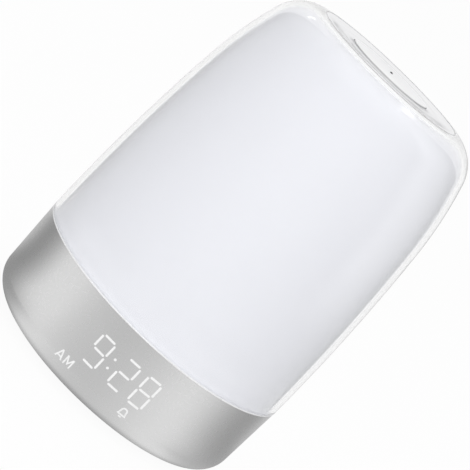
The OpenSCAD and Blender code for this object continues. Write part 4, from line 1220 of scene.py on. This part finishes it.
class CLOCK_OT_stage(ClockOperator, bpy.types.Operator):
    """Sets the floor, the soft lights and the camera"""
    bl_idname = "clock.stage"
    bl_label = "Stage"

    def execute(self, context):
        scene, stage = context.scene, context.scene.clock_stage
        white = (*stage.background, 1)
        self.camera(scene, stage)
        self.floor(white)
        self.room(scene, stage, white)
        self.lamps(stage)
        self.tent()
        self.backdrop_cards()
        scene.view_settings.view_transform = "Standard"
        return {"FINISHED"}

    def camera(self, scene, stage):
        """The camera in front, which looks at the clock and is rolled."""
        camera = add_object("camera", bpy.data.cameras.new("camera"))
        camera.data.lens = stage.lens
        camera.data.clip_start, camera.data.clip_end = 0.05, 50.0
        aside = -0.12 * MM
        point_at(camera, (aside, -stage.distance, stage.height), (aside, 0.0, stage.aim),
                 stage.roll)
        scene.camera = camera

    def floor(self, white):
        """A wide white floor, seen nearly as plain as the room."""
        mat, tree = new_material("floor_paper")
        plain = put(tree, "ShaderNodeBsdfDiffuse", {"Color": (0.90, 0.90, 0.90, 1)})
        glow = put(tree, "ShaderNodeEmission", {"Color": white, "Strength": 1.0})
        finished(mat, either(tree, product(tree, room_rays(tree), 0.94), plain, glow))
        ring = [(x, y, 0.0) for x, y in circle(0.0, 0.0, FLOOR_RADIUS, 64)]
        mesh_object("floor", ring, [list(range(len(ring)))], mat)

    def room(self, scene, stage, white):
        """The room's soft light, and the plain white that is seen of the room."""
        world = bpy.data.worlds.new("room")
        world.use_nodes = True
        tree = world.node_tree
        tree.nodes.clear()
        soft, seen = (put(tree, "ShaderNodeBackground", {"Color": white, "Strength": strength})
                      for strength in (stage.ambient, 1.0))
        both = either(tree, room_rays(tree), soft, seen)
        put(tree, "ShaderNodeOutputWorld", {"Surface": both.outputs[0]})
        arrange(tree)
        scene.world = world

    def lamps(self, stage):
        """Two large soft lamps, a small one behind at the left, and the card for the glint."""
        body, crown, shoulder = (0.0, 0.0, 0.08), (0.0, 0.0, 0.16), (0.0, -0.03, 0.169)
        front = area_lamp("front_softbox", (0.0, -1.50, 0.45), body, 1.4, 0.8, stage.key)
        above = area_lamp("top_softbox", (0.0, -0.30, 1.25), crown, 0.7, 0.7, stage.top)
        for lamp in (front, above):
            lamp.visible_glossy = lamp.visible_transmission = False
        area_lamp("left_softbox", (-0.44, 0.74, 0.68), shoulder, 0.15, 0.035,
                  0.12 * stage.sides)
        self.glint_card(shoulder)

    def tent(self):
        """A softly graded light tent round the clock, which only reflections see."""
        mat, tree = new_material("tent_cloth")
        where, away = own_axes(tree), off_axis(tree)
        back = product(tree, where["Y"], -1.0)
        turn = maths(tree, "ARCTAN2", where["X"], back)
        turned_back = maths(tree, "ABSOLUTE", turn)
        aside = maths(tree, "ABSOLUTE", where["X"])
        along = fade_in(tree, turn, -math.pi, math.pi)
        under, middle, upper = (ramp(tree, along, levels, -180, 180)
                                for levels in (FLOOR_LEVELS, TENT_LEVELS, UPPER_LEVELS))
        # The upper tones start a little lower at the rear
        lift = spread(tree, turned_back, 0.0, 0.020, math.radians(110), math.radians(116))
        rise = maths(tree, "ADD", where["Z"], lift)
        # A brighter patch at the right, like a window
        window = product(tree, fade_in(tree, turn, math.radians(58), math.radians(70)),
                         fade_out(tree, turn, math.radians(76), math.radians(106)),
                         fade_out(tree, where["Z"], 0.25, 0.40),
                         fade_in(tree, where["Z"], 0.065, 0.110))
        # Each tone covers the ones before it: the wall, the wall above the seam, the hood, the
        # window, and the rear, where the tones' two ends would leave a step
        cloth = under
        for part, tone in (
                (fade_in(tree, away, 0.078, 0.095), middle),
                (fade_in(tree, rise, 0.030, 0.040), upper),
                (fade_in(tree, where["Z"], 0.19, 0.45), (1.1, 1.1, 1.1)),
                (window, (1.45, 1.45, 1.45)),
                (fade_in(tree, turned_back, math.radians(145), math.radians(172)),
                 (0.8, 0.8, 0.8))):
            cloth = between(tree, part, cloth, tone)
        # Darker close to the clock's foot, and dark in a patch behind, which the dish reflects
        shaded = spread(tree, away, 0.42, 1.0, 0.0515, 0.0595)
        patch = product(tree, spread(tree, where["Z"], 0.0, -0.88, 0.12, 0.14),
                        fade_in(tree, where["Y"], 0.117, 0.125),
                        fade_out(tree, aside, 0.014, 0.026),
                        spread(tree, where["Z"], 1.0, 0.6, 0.169, 0.178))
        finished(mat, put(tree, "ShaderNodeEmission", {
            "Color": cloth, "Strength": maths(tree, "ADD", shaded, patch)}))
        self.tent_cloth(mat)

    def tent_cloth(self, mat):
        """A floor ring and a wall round the clock, with a higher hood round its front."""
        foot, rim, hood_top = 0.0003, 0.178, 0.60
        outline = ((TENT_INNER, foot), (TENT_RADIUS, foot), (TENT_RADIUS, rim),
                   (TENT_RADIUS, hood_top))
        count, hood_row, hood_reach = 96, 2, 32
        front = 0.75 * count
        points = [(x, y, z) for r, z in outline for x, y in circle(0.0, 0.0, r, count)]
        faces = [(i * count + k, i * count + (k + 1) % count,
                  (i + 1) * count + (k + 1) % count, (i + 1) * count + k)
                 for i in range(len(outline) - 1) for k in range(count)
                 if i < hood_row or abs(k + 0.5 - front) < hood_reach
                 or abs(k + 0.5 + count - front) < hood_reach]
        only_reflected(mesh_object("light_tent", points, faces, mat))

    def backdrop_cards(self):
        """Two cards behind: a dark one for the dish's slope, and a tall one for the shoulder."""
        edge, top = CARD_LEVELS[0][0], CARD_LEVELS[-1][0]
        mat, tree = new_material("dark_card")
        finished(mat, put(tree, "ShaderNodeEmission", {"Color": (0.22, 0.22, 0.23, 1)}))
        card(mat, 0.055, 0.60, 0.10, edge)

        mat, tree = new_material("tall_card")
        where = own_axes(tree)
        levels = ramp(tree, fade_in(tree, where["Z"], 0.0, top), CARD_LEVELS, 0.0, top)
        sides = fade_in(tree, maths(tree, "ABSOLUTE", where["X"]), 0.25, 0.60)
        level = between(tree, sides, levels, (1.0, 1.0, 1.0))
        finished(mat, put(tree, "ShaderNodeEmission", {"Color": level}))
        card(mat, 0.60, 0.61, edge, top)

    def glint_card(self, target):
        """A bright card that fades to its edges, for the soft glint on the shoulder."""
        mat, tree = new_material("glint_card")
        where = put(tree, "ShaderNodeTexCoord").outputs["UV"]
        away = vector_length(tree, where, "SUBTRACT", (0.5, 0.5, 0.0))
        inside = fade_out(tree, maths(tree, "POWER", away, 2.0), 0.0, 0.25)
        level = product(tree, maths(tree, "POWER", inside, 2.0), 2.6)
        light = put(tree, "ShaderNodeEmission", {"Color": (1, 1, 1, 1), "Strength": level})
        finished(mat, put(tree, "ShaderNodeAddShader", {
            0: put(tree, "ShaderNodeBsdfTransparent").outputs[0], 1: light.outputs[0]}))
        place, half_width, half_height = Vector((0.256, 0.336, 1.078)), 0.105, 0.62
        x, y, _ = sight(place, target, math.radians(47))
        corners = [place + a * half_width * x + b * half_height * y
                   for a, b in ((-1, -1), (1, -1), (1, 1), (-1, 1))]
        made = mesh_object("glint_card", corners, [(0, 1, 2, 3)], mat)
        mapped = made.data.uv_layers.new(name="UVMap")
        mapped.data.foreach_set("uv", (0, 0, 1, 0, 1, 1, 0, 1))
        only_reflected(made)


PIECES = (CLOCK_OT_cover, CLOCK_OT_shade, CLOCK_OT_dish, CLOCK_OT_top_button, CLOCK_OT_base,
          CLOCK_OT_display, CLOCK_OT_rear, CLOCK_OT_underside, CLOCK_OT_lamp, CLOCK_OT_boards,
          CLOCK_OT_speaker)


class CLOCK_PT_panel(bpy.types.Panel):
    """Lists the clock's sizes, colours and pieces"""
    bl_idname = "CLOCK_PT_panel"
    bl_label = "Sunrise alarm clock"
    bl_space_type = "VIEW_3D"
    bl_region_type = "UI"
    bl_category = "Clock"

    def draw(self, context):
        layout, scene = self.layout, context.scene
        for title, group in (("Sizes", scene.clock_sizes), ("Colours", scene.clock_colours),
                             ("Stage", scene.clock_stage)):
            box = layout.box()
            box.label(text=title)
            for key in type(group).__annotations__:
                box.prop(group, key)
        column = layout.column(align=True)
        for piece in (*PIECES, CLOCK_OT_stage):
            column.operator(piece.bl_idname)


CLASSES = (ClockSizes, ClockColours, ClockStage, *PIECES, CLOCK_OT_stage, CLOCK_PT_panel)


def register():
    for item in CLASSES:
        bpy.utils.register_class(item)
    bpy.types.Scene.clock_sizes = PointerProperty(type=ClockSizes)
    bpy.types.Scene.clock_colours = PointerProperty(type=ClockColours)
    bpy.types.Scene.clock_stage = PointerProperty(type=ClockStage)


def unregister():
    del bpy.types.Scene.clock_stage
    del bpy.types.Scene.clock_colours
    del bpy.types.Scene.clock_sizes
    for item in reversed(CLASSES):
        bpy.utils.unregister_class(item)


def main():
    register()
    bpy.ops.clock.stage()
    bpy.ops.clock.cover()
    bpy.ops.clock.shade()
    bpy.ops.clock.dish()
    bpy.ops.clock.top_button()
    bpy.ops.clock.base()
    bpy.ops.clock.display()
    bpy.ops.clock.rear()
    bpy.ops.clock.underside()
    bpy.ops.clock.lamp()
    bpy.ops.clock.boards()
    bpy.ops.clock.speaker()


if __name__ == "__main__":
    main()
